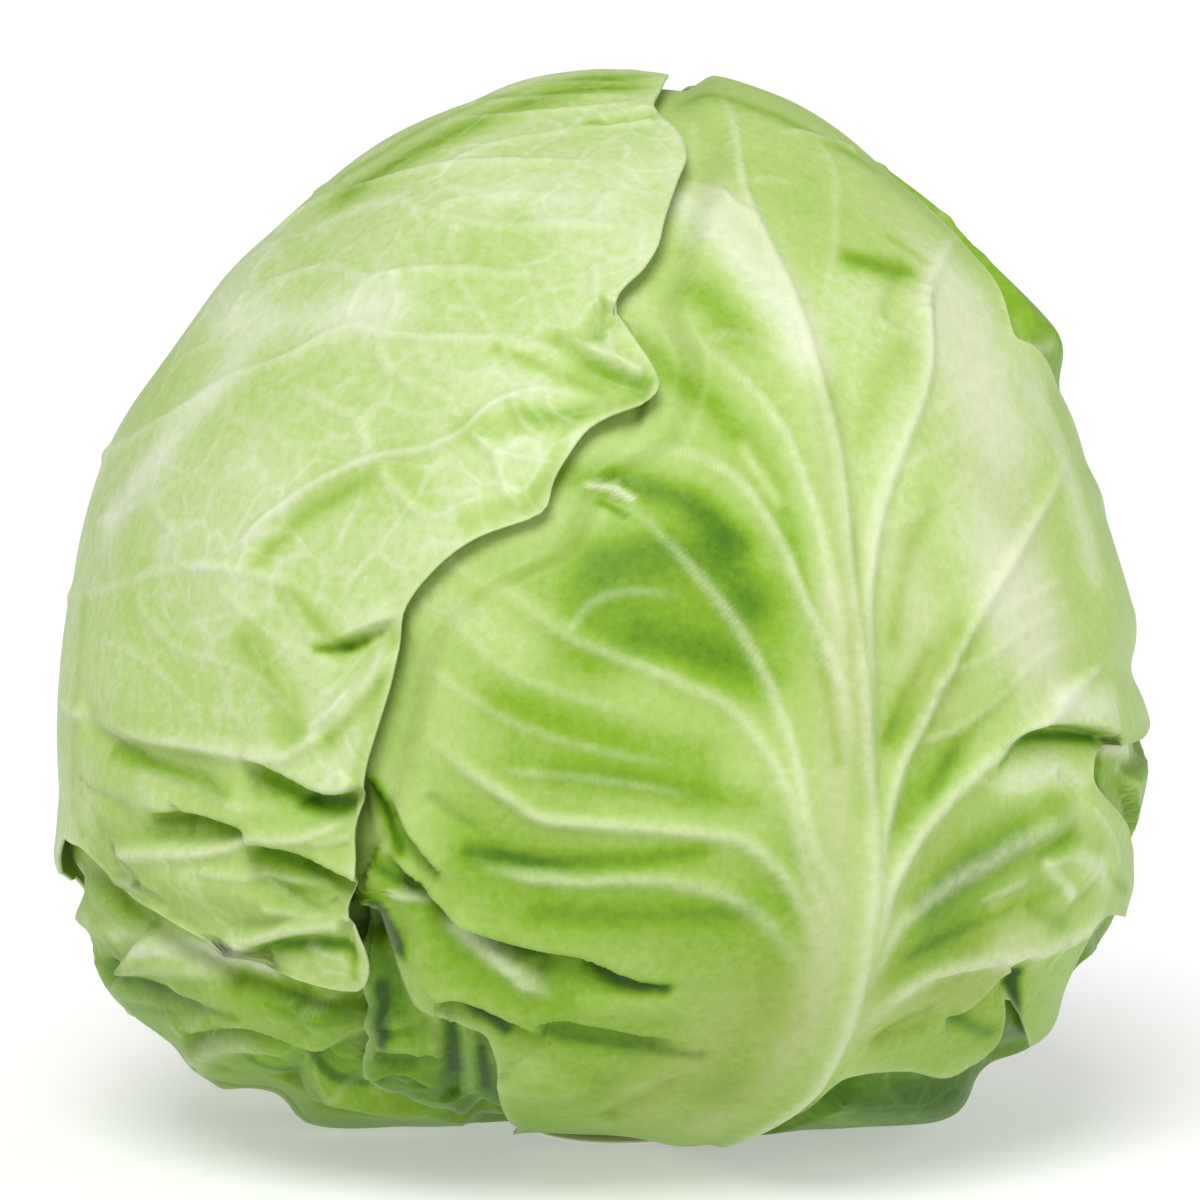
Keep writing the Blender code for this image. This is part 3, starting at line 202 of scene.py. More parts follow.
def above_floor(directions, radius):
    """Keep the underside a little above the floor, with a soft bend."""
    drop = np.maximum(-directions[:, 2], BELOW_LEVEL)
    most = (MIDDLE_HEIGHT - FLOOR_CLEARANCE) / drop
    over = (radius - most) / FLOOR_SOFTNESS
    eased = most - FLOOR_SOFTNESS * np.logaddexp(0.0, -over)
    return np.where(directions[:, 2] < -BELOW_LEVEL, eased, radius)


def bare_radius(directions):
    """Radius of the head without relief."""
    across, above, near = directions @ RIGHT, directions @ UP, directions @ NEAR
    rise = np.arcsin(np.clip(above, -1, 1))
    side = loop_read(SIDE_TABLE, np.where(across > 0, rise, math.pi - rise))
    depth = loop_read(DEPTH_TABLE, np.where(near > 0, rise, math.pi - rise))
    level = across**2 + near**2 + TINY
    smooth = (side * across**2 + depth * near**2) / level
    pole = np.where(above > 0, SIDE_TABLE[TABLE // 4], SIDE_TABLE[3 * TABLE // 4])
    to_pole = smoothstep((np.abs(above) - POLE_START) / (1 - POLE_START))
    smooth = smooth * (1 - to_pole) + pole * to_pole
    limb = np.exp(-((near / LIMB_SPREAD) ** 2))
    fine = loop_read(SIDE_FINE - SIDE_TABLE, np.arctan2(above, across))
    return smooth + fine * limb


def seen(points):
    """Directions of sketch points, where the line of sight first meets the head."""
    drawn = np.asarray(points, float)
    across = (drawn[:, :1] - SKETCH_MIDDLE[0]) * STEP * RIGHT
    above = (SKETCH_MIDDLE[1] - drawn[:, 1:]) * STEP * UP
    plane = across + above
    depths = np.arange(SIGHT_START, SIGHT_END, -SIGHT_STEP)
    best = np.full(len(drawn), np.inf)
    found = np.zeros((len(drawn), 3))
    done = np.zeros(len(drawn), bool)
    for depth in depths:
        place = plane * (1 - depth / SKETCH_DISTANCE) + NEAR * depth
        length = np.linalg.norm(place, axis=1)
        over = length - bare_radius(place / length[:, None])
        better = (over < best) & ~done
        found[better] = (place / length[:, None])[better]
        best[better] = over[better]
        done |= over <= 0
    return found


def rounded(points, passes=2):
    """Cut the corners of an open line."""
    line = np.asarray(points, float)
    for _ in range(passes):
        quarter = line[:-1] * 0.75 + line[1:] * 0.25
        three = line[:-1] * 0.25 + line[1:] * 0.75
        middle = np.stack([quarter, three], axis=1).reshape(-1, line.shape[1])
        line = np.concatenate([line[:1], middle, line[-1:]])
    return line


def ripples(directions, seed, length):
    """Soft seeded swelling of the surface, between -1 and 1, with waves about length millimetres long."""
    random = np.random.default_rng(seed)
    axes = random.normal(size=(WAVE_COUNT, 3))
    axes /= np.linalg.norm(axes, axis=1)[:, None]
    turns = 2 * math.pi * MEAN_RADIUS / (length * random.uniform(*WAVE_SPREAD, WAVE_COUNT))
    phases = random.uniform(0, 2 * math.pi, WAVE_COUNT)
    waves = np.sin(directions @ (axes * turns[:, None]).T + phases)
    return np.clip(waves.sum(axis=1) / math.sqrt(2.0 * WAVE_COUNT), -1, 1)


class Stroke:
    """A line drawn on the head, with a profile across it.

    kind "rib" is a round ridge, "crease" a sharp groove with rising flanks and "fold" a step: high on the left of
    the line as it is drawn, and dropping away sharply on its right.
    """

    def __init__(self, kind, heights, widths, ends, drop, points):
        self.kind = kind
        self.heights = heights
        self.widths = widths
        self.ends = ends
        self.drop = drop
        on_sketch = not isinstance(points, np.ndarray)
        self.line = seen(rounded(points)) if on_sketch else points

    def nearest(self, directions, reach):
        """Indices within reach, with distance in mm, side and share of the line's length."""
        middle = self.line.mean(axis=0)
        middle = middle / np.linalg.norm(middle)
        size = np.linalg.norm(self.line - middle, axis=1).max()
        index = np.where(np.linalg.norm(directions - middle, axis=1) < size + reach / MEAN_RADIUS)[0]
        close = directions[index]
        best = np.full(len(index), np.inf)
        side = np.zeros(len(index))
        share = np.zeros(len(index))
        lengths = np.linalg.norm(np.diff(self.line, axis=0), axis=1)
        starts = np.concatenate([[0.0], np.cumsum(lengths)])
        for number, length in enumerate(lengths):
            if length < TINY:
                continue
            start = self.line[number]
            along = (self.line[number + 1] - start) / length
            travel = np.clip((close - start) @ along, 0, length)
            away = close - (start + travel[:, None] * along)
            distance = np.linalg.norm(away, axis=1)
            left = np.cross(start, along)
            nearer = distance < best
            best[nearer] = distance[nearer]
            side[nearer] = np.sign(away @ left)[nearer]
            share[nearer] = ((starts[number] + travel) / starts[-1])[nearer]
        inside = best * MEAN_RADIUS < reach
        return index[inside], best[inside] * MEAN_RADIUS, side[inside], share[inside]

    def width(self, share):
        stated = self.widths[0] + (self.widths[1] - self.widths[0]) * share
        narrow, broad = LINE_SHARES[self.kind]
        return stated * np.interp(stated, (NARROW_LINE, BROAD_LINE), (narrow, broad))

    def strength(self, share):
        first, last = self.ends
        rise = smoothstep(share / first) if first > 0 else 1.0
        fall = smoothstep((1 - share) / last) if last > 0 else 1.0
        return rise * fall

    def values(self, directions, spread=0.0):
        """Height in mm; with a spread, only the widened downward part."""
        height = np.zeros(len(directions))
        reach = REACH * (max(self.widths) + spread)
        index, distance, side, share = self.nearest(directions, reach)
        width = self.width(share) + spread
        strength = self.strength(share)
        tall = (self.heights[0] + (self.heights[1] - self.heights[0]) * share) * strength
        bell = np.exp(-((distance / width) ** 2))
        softened = np.hypot(distance, GROOVE_SOFTNESS) - GROOVE_SOFTNESS
        groove = np.exp(-softened / width) * (1 - smoothstep(distance / reach))
        deep = self.drop * strength
        if spread:
            deep = tall if self.kind == "crease" else deep
            height[index] = -deep * bell
        elif self.kind == "rib":
            height[index] = tall * bell
        elif self.kind == "crease":
            height[index] = -tall * groove
        else:
            step = 0.5 * (1 + np.tanh(side * distance / FOLD_SOFTNESS))
            height[index] = tall * bell * step - deep * groove * (1 - step)
        return height


class Blade:
    """One leaf: an outline round a middle direction, with its own relief."""

    def __init__(self, name, middle, outline, relief, swell, ruffle, seed):
        self.name = name
        self.relief = relief
        self.swell = swell
        self.ruffle = ruffle
        self.seed = seed
        self.middle = unit(*middle)
        self.first = np.cross(self.middle, np.array((0.0, 0.0, 1.0)))
        self.first /= np.linalg.norm(self.first)
        self.second = np.cross(self.middle, self.first)
        self.edge = self.edge_table(outline)
        self.cover = self.cover_table()

    def polar(self, directions):
        angle = np.arctan2(directions @ self.second, directions @ self.first)
        return np.arccos(np.clip(directions @ self.middle, -1, 1)), angle

    def edge_table(self, outline):
        """Angular distance of the margin from the middle, by angle."""
        directions, drawn = [], []
        for kind, points in outline:
            if kind == "sketch":
                found = seen(points)
            else:
                found = np.array([unit(*point) for point in points])
            directions.append(found)
            drawn.append(np.full(len(found), 0.0 if kind == "hidden" else 1.0))
        away, angle = self.polar(np.concatenate(directions))
        drawn = np.concatenate(drawn)
        angle = np.unwrap(angle)
        if angle[-1] < angle[0]:
            away, angle, drawn = away[::-1], angle[::-1], drawn[::-1]
        least = math.radians(LEAST_TURN)
        for number in range(1, len(angle)):
            angle[number] = max(angle[number], angle[number - 1] + least)
        angles = np.arange(TABLE) * 2 * math.pi / TABLE
        table = np.interp(angles, angle, away, period=2 * math.pi)
        on_sketch = np.interp(angles, angle, drawn, period=2 * math.pi)
        random = np.random.default_rng(self.seed)
        wave = np.zeros(TABLE)
        for turns in MARGIN_TURNS:
            wave += np.sin(turns * angles + random.uniform(0, 2 * math.pi)) / turns
        table = table + wave * MARGIN_WAVE * (1 - on_sketch)
        return loop_smooth(table, EDGE_ROUNDING)

    def cover_table(self):
        """The margin widened a little, for the blades below."""
        shifts = range(-COVER_REACH, COVER_REACH + 1)
        wide = np.max([np.roll(self.edge, shift) for shift in shifts], axis=0)
        return loop_smooth(wide, COVER_ROUNDING) + TUCK_MARGIN / MEAN_RADIUS

    def covering(self, directions):
        """1 under the blade, falling to 0 outside its margin."""
        away, angle = self.polar(directions)
        outside = (away - loop_read(self.cover, angle)) * MEAN_RADIUS
        return 1 - smoothstep(outside / TUCK_LENGTH)

    def inside(self, directions):
        """Distance from the margin in mm, measured towards the middle."""
        away, angle = self.polar(directions)
        return (loop_read(self.edge, angle) - away) * MEAN_RADIUS

    def height(self, directions):
        """The blade's own relief in mm."""
        total = self.swell * ripples(directions, self.seed, SWELL_WAVE)
        for mark in self.relief:
            total = total + mark.values(directions)
        rim = np.exp(-np.maximum(self.inside(directions), 0) / RUFFLE_DEPTH)
        waved = RUFFLE_LEVEL + (1 - RUFFLE_LEVEL) * ripples(directions, self.seed + 1, RUFFLE_WAVE)
        return total + self.ruffle * rim * waved

    def lowest(self, directions):
        """A smooth surface that the relief stays above."""
        total = np.full(len(directions), -self.swell)
        for mark in self.relief:
            total = total + mark.values(directions, COVER_SPREAD)
        return total

    def sheet_directions(self, cells, focus=None):
        """A square grid carried onto the blade: each corner's direction.

        A focus draws the grid closer there.
        """
        ticks = np.linspace(-1, 1, cells + 1)
        x, y = [grid.ravel() for grid in np.meshgrid(ticks, ticks, indexing="ij")]
        wide = np.abs(x) >= np.abs(y)
        share = np.where(wide, np.abs(x), np.abs(y))
        safe_x = np.where(x == 0, 1.0, x)
        safe_y = np.where(y == 0, 1.0, y)
        turn_wide = np.where(x >= 0, 0.0, math.pi) + math.pi / 4 * (y / safe_x)
        turn_tall = np.where(y >= 0, math.pi / 2, 3 * math.pi / 2) - math.pi / 4 * (x / safe_y)
        angle = np.where(wide, turn_wide, turn_tall)
        if focus is not None:
            towards = self.polar(unit(*focus)[None])[1][0]
            pull = GRID_PULL * (1 - share**2)
            x = share * np.cos(angle) + pull * math.cos(towards)
            y = share * np.sin(angle) + pull * math.sin(towards)
            share, angle = np.hypot(x, y), np.arctan2(y, x)
        even = loop_smooth(self.edge, EVEN_ROUNDING)
        broad, exact = loop_read(even, angle), loop_read(self.edge, angle)
        away = share * (broad + (exact - broad) * share**4)
        flat = np.cos(angle)[:, None] * self.first + np.sin(angle)[:, None] * self.second
        return np.cos(away)[:, None] * self.middle + np.sin(away)[:, None] * flat


def surface_radius(blades, number, directions):
    """Outer face of a blade, tucked under the blades above it."""
    free = np.ones(len(directions))
    lowered = np.zeros(len(directions))
    for upper in blades[:number]:
        cover = upper.covering(directions)
        free *= 1 - cover
        lowered += cover * (upper.lowest(directions) - BLADE_THICKNESS - BLADE_GAP)
    own = blades[number].height(directions) * free
    return above_floor(directions, bare_radius(directions) + own) + lowered


def collar(first, last, count=5):
    """Points of a blade's foot, round the stalk between two azimuths."""
    points = []
    for azimuth in np.linspace(first, last, count):
        flat = unit(azimuth, 0.0)
        flat = flat - (flat @ STALK_AXIS) * STALK_AXIS
        flat /= np.linalg.norm(flat)
        angle = math.radians(COLLAR_ANGLE)
        d = math.cos(angle) * STALK_AXIS + math.sin(angle) * flat
        points.append((math.degrees(math.atan2(d[0], -d[1])), math.degrees(math.asin(d[2]))))
    return points


def hidden_line(points):
    """Directions of a line stated by azimuth and elevation."""
    return np.array([unit(*point) for point in rounded(points)])


# Midribs of the blades whose own are out of sight on the front sketch, by azimuth and elevation
MIDRIB_LEFT = [(-146, -74), (-136, -55), (-128, -32), (-124, -8), (-121, 16), (-117, 40), (-108, 62)]
MIDRIB_RIGHT = [(128, -74), (136, -55), (139, -32), (137, -8), (136, 16), (134, 38), (130, 58)]
MIDRIB_LOWER_LEFT = [(-75, -75), (-80, -60), (-88, -45), (-97, -30), (-105, -16)]


def left_leaf():
    outline = [
        ("sketch", [
            (670, 74), (662, 88), (652, 106), (662, 121), (674, 128), (683, 143), (687, 163), (679, 179),
            (669, 207), (663, 227), (659, 250), (644, 272), (623, 288), (613, 304), (620, 320), (635, 342),
            (649, 360), (659, 378), (661, 392), (642, 408), (608, 417), (585, 431), (570, 454), (557, 474),
            (549, 495), (552, 506), (540, 518), (501, 527), (473, 539), (445, 559), (419, 587), (403, 611),
            (400, 655), (391, 689), (378, 732), (368, 763), (363, 795), (355, 818), (353, 836), (358, 856),
            (358, 880), (352, 897), (345, 911), (352, 926), (366, 945), (372, 969), (366, 988), (350, 998),
            (311, 987), (272, 977), (229, 962), (210, 948), (193, 926), (173, 912), (145, 900), (117, 884),
            (103, 864), (84, 846), (66, 836)]),
        ("hidden", [(-95, -24), (-99, -38), (-102, -52), (-108, -66)]),
        ("foot", collar(-127, -165, 3)),
        ("hidden", [
            (-172, -66), (176, -48), (168, -26), (163, -4), (160, 16), (158, 36), (157, 52), (160, 66),
            (172, 76)]),
    ]
    lines = [
        # Veins of the broad upper part
        ("rib", (0.4, 0.7), (1.7, 1.4), (0.02, 0.3), 0, [
            (62, 596), (117, 587), (173, 567), (214, 567), (260, 574), (298, 588), (336, 611), (362, 629)]),
        ("rib", (1.3, 0.6), (1.6, 1.3), (0.1, 0.3), 0, [
            (234, 560), (260, 528), (298, 496), (331, 476), (367, 458), (427, 451), (468, 432), (483, 413),
            (514, 395), (547, 390), (585, 395), (613, 400)]),
        ("crease", (1.0, 0.6), (2.2, 1.8), (0.15, 0.3), 0, [
            (252, 566), (283, 530), (325, 500), (377, 474)]),
        ("rib", (0.6, 1.0), (2.0, 1.4), (0.02, 0.3), 0, [
            (92, 462), (122, 446), (184, 408), (230, 377), (291, 358), (341, 327), (383, 335), (417, 341),
            (478, 339), (536, 342), (574, 362), (610, 383)]),
        ("rib", (0.8, 0.5), (1.6, 1.3), (0.15, 0.3), 0, [
            (245, 293), (283, 277), (337, 264), (362, 285), (390, 275), (452, 266), (497, 272), (536, 274),
            (574, 285)]),
        ("rib", (0.6, 0.8), (1.6, 1.3), (0.05, 0.3), 0, [
            (270, 238), (314, 197), (381, 180), (432, 168), (488, 163), (560, 163), (636, 166)]),
        ("rib", (0.6, 0.4), (1.5, 1.3), (0.15, 0.3), 0, [
            (391, 199), (432, 217), (509, 226), (595, 225), (659, 241)]),
        ("rib", (0.6, 0.4), (1.5, 1.3), (0.15, 0.3), 0, [
            (437, 122), (509, 116), (560, 110), (631, 105), (655, 96)]),
        ("rib", (0.6, 0.4), (1.4, 1.2), (0.15, 0.3), 0, [
            (468, 432), (493, 451), (503, 477), (506, 497), (534, 513)]),
        ("rib", (0.6, 0.4), (1.4, 1.2), (0.15, 0.3), 0, [
            (372, 458), (399, 497), (432, 523), (468, 500), (506, 497)]),
        ("rib", (0.6, 0.4), (1.4, 1.2), (0.15, 0.3), 0, [
            (375, 341), (383, 364), (413, 386), (452, 402), (474, 409)]),
        ("rib", (0.6, 0.4), (1.4, 1.2), (0.15, 0.3), 0, [(367, 458), (360, 421), (325, 404), (283, 383)]),
        # Gathered corner beside the notch of the margin
        ("crease", (1.8, 0.8), (2.4, 1.8), (0.02, 0.4), 0, [(613, 306), (602, 325), (590, 352)]),
        ("rib", (1.4, 0.8), (2.4, 2.0), (0.1, 0.4), 0, [(648, 376), (612, 362), (585, 346), (560, 332)]),
        ("crease", (1.6, 0.9), (2.6, 2.2), (0.1, 0.4), 0, [(652, 392), (620, 384), (590, 372), (556, 360)]),
        ("fold", (1.0, 0.7), (3.0, 2.6), (0.4, 0.05), 1.2, [(590, 120), (625, 116), (650, 110)]),
        # Pleat below the corner of the margin
        ("fold", (1.4, 1.2), (4.6, 4.2), (0.5, 0.3), 2.4, [
            (304, 654), (322, 650), (345, 641), (371, 630), (404, 614)]),
        ("rib", (1.2, 0.8), (3.0, 2.4), (0.2, 0.3), 0, [(398, 640), (372, 682), (350, 708), (322, 736)]),
        # Flap over the crumpled lower part
        ("rib", (0.9, 1.6), (2.2, 2.0), (0.02, 0.25), 0, [
            (60, 700), (94, 724), (132, 739), (173, 744), (219, 749), (260, 757), (300, 752), (323, 729),
            (356, 690), (387, 655)]),
        ("crease", (2.6, 2.4), (3.4, 3.0), (0.1, 0.2), 0, [
            (78, 716), (95, 728), (130, 754), (151, 768), (188, 779), (214, 790), (240, 800)]),
        ("fold", (1.6, 1.6), (4.6, 4.2), (0.15, 0.1), 3.2, [
            (240, 756), (262, 762), (280, 773), (299, 784), (318, 794), (336, 797), (352, 791),
            (362, 782)]),
        ("crease", (1.4, 1.2), (2.0, 1.8), (0.15, 0.1), 0, [(298, 802), (330, 813), (354, 806)]),
        ("rib", (1.4, 1.2), (4.6, 4.0), (0.2, 0.2), 0, [
            (116, 784), (170, 796), (240, 812), (300, 822), (346, 818)]),
        ("fold", (1.0, 1.2), (4.0, 3.6), (0.2, 0.2), 3.0, [
            (146, 814), (180, 812), (199, 813), (232, 821), (262, 836)]),
        ("crease", (1.4, 1.0), (1.5, 1.3), (0.1, 0.4), 0, [(183, 804), (182, 822), (189, 838)]),
        ("rib", (1.8, 1.4), (2.0, 1.8), (0.1, 0.15), 0, [
            (112, 852), (150, 850), (188, 850), (225, 848), (247, 838), (262, 832), (299, 837), (336, 827),
            (358, 815)]),
        ("fold", (1.2, 1.4), (4.0, 3.6), (0.1, 0.05), 2.8, [
            (246, 843), (275, 847), (299, 854), (336, 872), (360, 883)]),
        ("rib", (1.4, 1.2), (5.0, 4.4), (0.2, 0.2), 0, [(120, 872), (180, 874), (240, 888), (300, 906)]),
        ("crease", (1.6, 1.4), (2.2, 2.0), (0.2, 0.1), 0, [(247, 867), (277, 888), (306, 911), (340, 926)]),
        ("rib", (1.8, 1.4), (2.2, 2.0), (0.1, 0.1), 0, [(222, 952), (262, 938), (299, 928), (345, 924)]),
        ("crease", (2.4, 2.0), (2.6, 2.4), (0.15, 0.1), 0, [
            (246, 962), (273, 948), (300, 943), (329, 946), (352, 948)]),
        ("crease", (1.6, 1.2), (1.6, 1.4), (0.05, 0.3), 0, [(346, 920), (349, 944), (357, 972)]),
        ("rib", (3.2, 1.0), (5.0, 2.6), (0.15, 0.3), 0, hidden_line(MIDRIB_LEFT)),
    ]
    return outline, lines


def front_leaf():
    outline = [
        ("sketch", [(1014, 303), (1006, 331), (1018, 341), (1032, 346), (1046, 363), (1058, 388)]),
        ("hidden", [(91, 22), (95, 14), (94, 5), (91, -3), (89, -8)]),
        ("sketch", [
            (1138, 742), (1112, 742), (1096, 754), (1090, 777), (1096, 797), (1110, 807), (1122, 820),
            (1130, 836)]),
        ("hidden", [(88, -24), (89, -26.5), (84, -27.2), (79, -26)]),
        ("sketch", [
            (1112, 912), (1100, 918), (1088, 934), (1076, 962), (1062, 1000), (1055, 1026), (1040, 1044),
            (1026, 1048), (1018, 1010), (1011, 985), (1002, 1010), (998, 1040), (986, 1058), (967, 1064),
            (940, 1076), (913, 1071), (893, 1070), (865, 1068), (834, 1071), (816, 1082), (800, 1102)]),
        ("foot", collar(26, -30, 5)),
        ("hidden", [(-34, -71)]),
        ("sketch", [
            (520, 1126), (508, 1118), (502, 1104), (500, 1084), (498, 1060), (488, 1034), (462, 1026),
            (440, 1016), (423, 1012), (406, 996), (394, 979), (388, 963), (376, 930), (366, 905)]),
        ("hidden", [
            (-44, -22), (-50, -8), (-50, 8), (-44, 26), (-38, 44), (-44, 62), (-72, 78), (-150, 84),
            (140, 78), (112, 66)]),
    ]
    lines = [
        # Midrib: a broad swelling with a narrow crest
        ("rib", (2.6, 0.6), (10.0, 3.0), (0.0, 0.15), 0, [
            (690, 1130), (752, 1112), (790, 1080), (812, 1040), (830, 970), (838, 906), (842, 830),
            (845, 772), (846, 676), (842, 600), (838, 536), (829, 450), (812, 382), (795, 305),
            (757, 229)]),
        ("rib", (1.6, 0.6), (3.2, 1.4), (0.0, 0.15), 0, [
            (722, 1132), (765, 1113), (799, 1086), (818, 1059), (841, 1013), (856, 964), (864, 906),
            (867, 830), (863, 772), (856, 676), (847, 600), (842, 536), (831, 450), (813, 382), (795, 305),
            (757, 229), (740, 185), (734, 124), (715, 80)]),
        ("rib", (0.9, 0.5), (1.8, 1.3), (0.05, 0.3), 0, [(757, 229), (734, 208), (711, 185), (691, 162)]),
        # Side ribs to the left
        ("rib", (1.2, 0.5), (2.4, 1.3), (0.25, 0.35), 0, [
            (846, 700), (838, 640), (830, 600), (814, 517), (799, 471), (784, 432), (761, 398), (734, 371),
            (696, 341), (657, 320), (623, 302)]),
        ("rib", (1.2, 0.6), (2.6, 1.5), (0.25, 0.35), 0, [
            (852, 780), (842, 700), (820, 640), (803, 600), (784, 551), (761, 509), (738, 478), (707, 459),
            (669, 446), (630, 446), (600, 455), (575, 467)]),
        ("rib", (1.3, 0.7), (2.8, 1.5), (0.25, 0.3), 0, [
            (852, 930), (820, 870), (803, 830), (799, 784), (784, 726), (765, 676), (742, 634), (708, 589),
            (685, 561), (639, 513), (605, 490), (585, 477)]),
        ("rib", (1.0, 0.5), (2.8, 1.4), (0.25, 0.3), 0, [
            (846, 970), (816, 900), (803, 868), (787, 791), (768, 753), (730, 704), (687, 686), (649, 668),
            (605, 653), (565, 638), (524, 607), (473, 556)]),
        ("rib", (0.8, 1.1), (2.6, 1.7), (0.3, 0.2), 0, [
            (838, 1000), (810, 925), (793, 886), (757, 847), (732, 834), (681, 828), (630, 825), (579, 821),
            (540, 819), (512, 797), (476, 774), (451, 754), (410, 723)]),
        ("rib", (0.5, 0.9), (2.8, 1.8), (0.35, 0.2), 0, [
            (820, 1000), (780, 935), (740, 900), (700, 885), (655, 876), (604, 879), (553, 880), (515, 876),
            (484, 868), (461, 853)]),
        # Folds of the lower left
        ("crease", (1.7, 0.3), (3.2, 2.4), (0.35, 0.7), 0, [
            (452, 836), (470, 848), (490, 856), (515, 865), (540, 869), (579, 862), (630, 852),
            (680, 848)]),
        ("fold", (1.4, 1.2), (4.6, 4.0), (0.05, 0.3), 3.2, [
            (362, 780), (380, 797), (397, 817), (415, 842), (434, 866), (452, 892)]),
        ("fold", (1.8, 0.9), (5.0, 4.0), (0.08, 0.5), 4.0, [
            (352, 852), (380, 860), (405, 875), (425, 895), (447, 916), (469, 931), (504, 944), (544, 953),
            (576, 957), (599, 966), (628, 980), (660, 986), (700, 982), (730, 972)]),
        ("crease", (4.2, 3.2), (4.4, 3.6), (0.0, 0.35), 0, [(364, 906), (381, 934), (394, 964)]),
        ("rib", (1.4, 1.0), (1.8, 1.6), (0.15, 0.3), 0, [(380, 902), (408, 900), (432, 908)]),
        ("rib", (1.8, 1.4), (3.0, 2.8), (0.15, 0.3), 0, [
            (436, 916), (458, 932), (479, 949), (504, 966), (529, 984), (560, 998)]),
        ("crease", (1.4, 1.0), (1.4, 1.2), (0.1, 0.3), 0, [(530, 986), (540, 970), (550, 958)]),
        ("rib", (1.6, 1.4), (4.6, 4.0), (0.2, 0.3), 0, [(560, 1004), (604, 1004), (650, 1002), (700, 994)]),
        ("fold", (1.0, 1.2), (3.6, 3.4), (0.02, 0.4), 3.4, [
            (436, 1004), (454, 1000), (469, 1003), (504, 1018), (530, 1030), (560, 1048)]),
        ("fold", (0.9, 0.7), (4.0, 3.4), (0.1, 0.4), 2.0, [
            (530, 1024), (554, 1021), (579, 1023), (616, 1033), (653, 1041), (703, 1043)]),
        ("rib", (2.0, 1.4), (7.0, 6.0), (0.2, 0.3), 0, [(506, 1064), (540, 1084), (600, 1088)]),
        ("crease", (1.2, 0.9), (3.0, 2.6), (0.05, 0.35), 0, [(606, 1118), (653, 1096), (703, 1066)]),
        # Side ribs to the right
        ("rib", (1.5, 0.7), (2.6, 1.4), (0.25, 0.2), 0, [
            (870, 800), (866, 720), (864, 657), (862, 600), (872, 528), (888, 472), (910, 420), (925, 380),
            (928, 338), (920, 302), (928, 280), (943, 254), (955, 230)]),
        ("rib", (1.5, 0.6), (2.8, 1.4), (0.25, 0.25), 0, [
            (866, 960), (873, 880), (879, 834), (888, 788), (905, 746), (924, 708), (943, 672), (968, 624),
            (993, 586), (1016, 550), (1039, 510), (1060, 472), (1071, 443)]),
        ("rib", (1.8, 0.9), (3.0, 1.8), (0.25, 0.25), 0, [
            (862, 985), (880, 900), (892, 870), (911, 838), (934, 807), (968, 773), (997, 752), (1027, 733),
            (1052, 712), (1077, 689), (1102, 664)]),
        ("fold", (1.0, 1.4), (4.4, 4.4), (0.35, 0.02), 3.2, [
            (984, 764), (1009, 741), (1034, 728), (1068, 726), (1096, 730), (1116, 738)]),
        ("rib", (0.9, 0.8), (3.2, 3.0), (0.25, 0.3), 0, [
            (858, 1010), (880, 948), (893, 927), (916, 904), (954, 881), (1005, 851), (1051, 825),
            (1094, 800)]),
        ("crease", (0.9, 0.8), (3.8, 3.6), (0.3, 0.4), 0, [
            (906, 904), (923, 893), (958, 866), (999, 842), (1027, 828), (1066, 812)]),
        ("crease", (1.5, 1.2), (3.6, 3.2), (0.3, 0.4), 0, [
            (896, 960), (950, 925), (1000, 900), (1050, 880), (1100, 862)]),
        ("rib", (1.8, 1.6), (3.2, 3.0), (0.25, 0.15), 0, [
            (850, 1030), (893, 991), (929, 973), (967, 963), (1005, 955), (1043, 948), (1080, 928),
            (1108, 904)]),
        ("fold", (1.0, 1.0), (3.4, 3.0), (0.2, 0.02), 2.6, [
            (944, 1022), (972, 1010), (992, 989), (1010, 968)]),
        ("crease", (2.6, 1.4), (2.8, 2.2), (0.0, 0.5), 0, [(1013, 992), (1018, 968), (1026, 946)]),
        ("crease", (1.4, 1.0), (2.6, 2.4), (0.2, 0.3), 0, [(866, 1046), (910, 1024), (950, 1012)]),
        ("crease", (1.4, 0.8), (3.0, 2.4), (0.2, 0.3), 0, [(888, 330), (896, 290), (904, 258)]),
        ("rib", (0.8, 0.5), (2.0, 1.6), (0.15, 0.3), 0, [(859, 152), (803, 134), (770, 132)]),
    ]
    return outline, lines


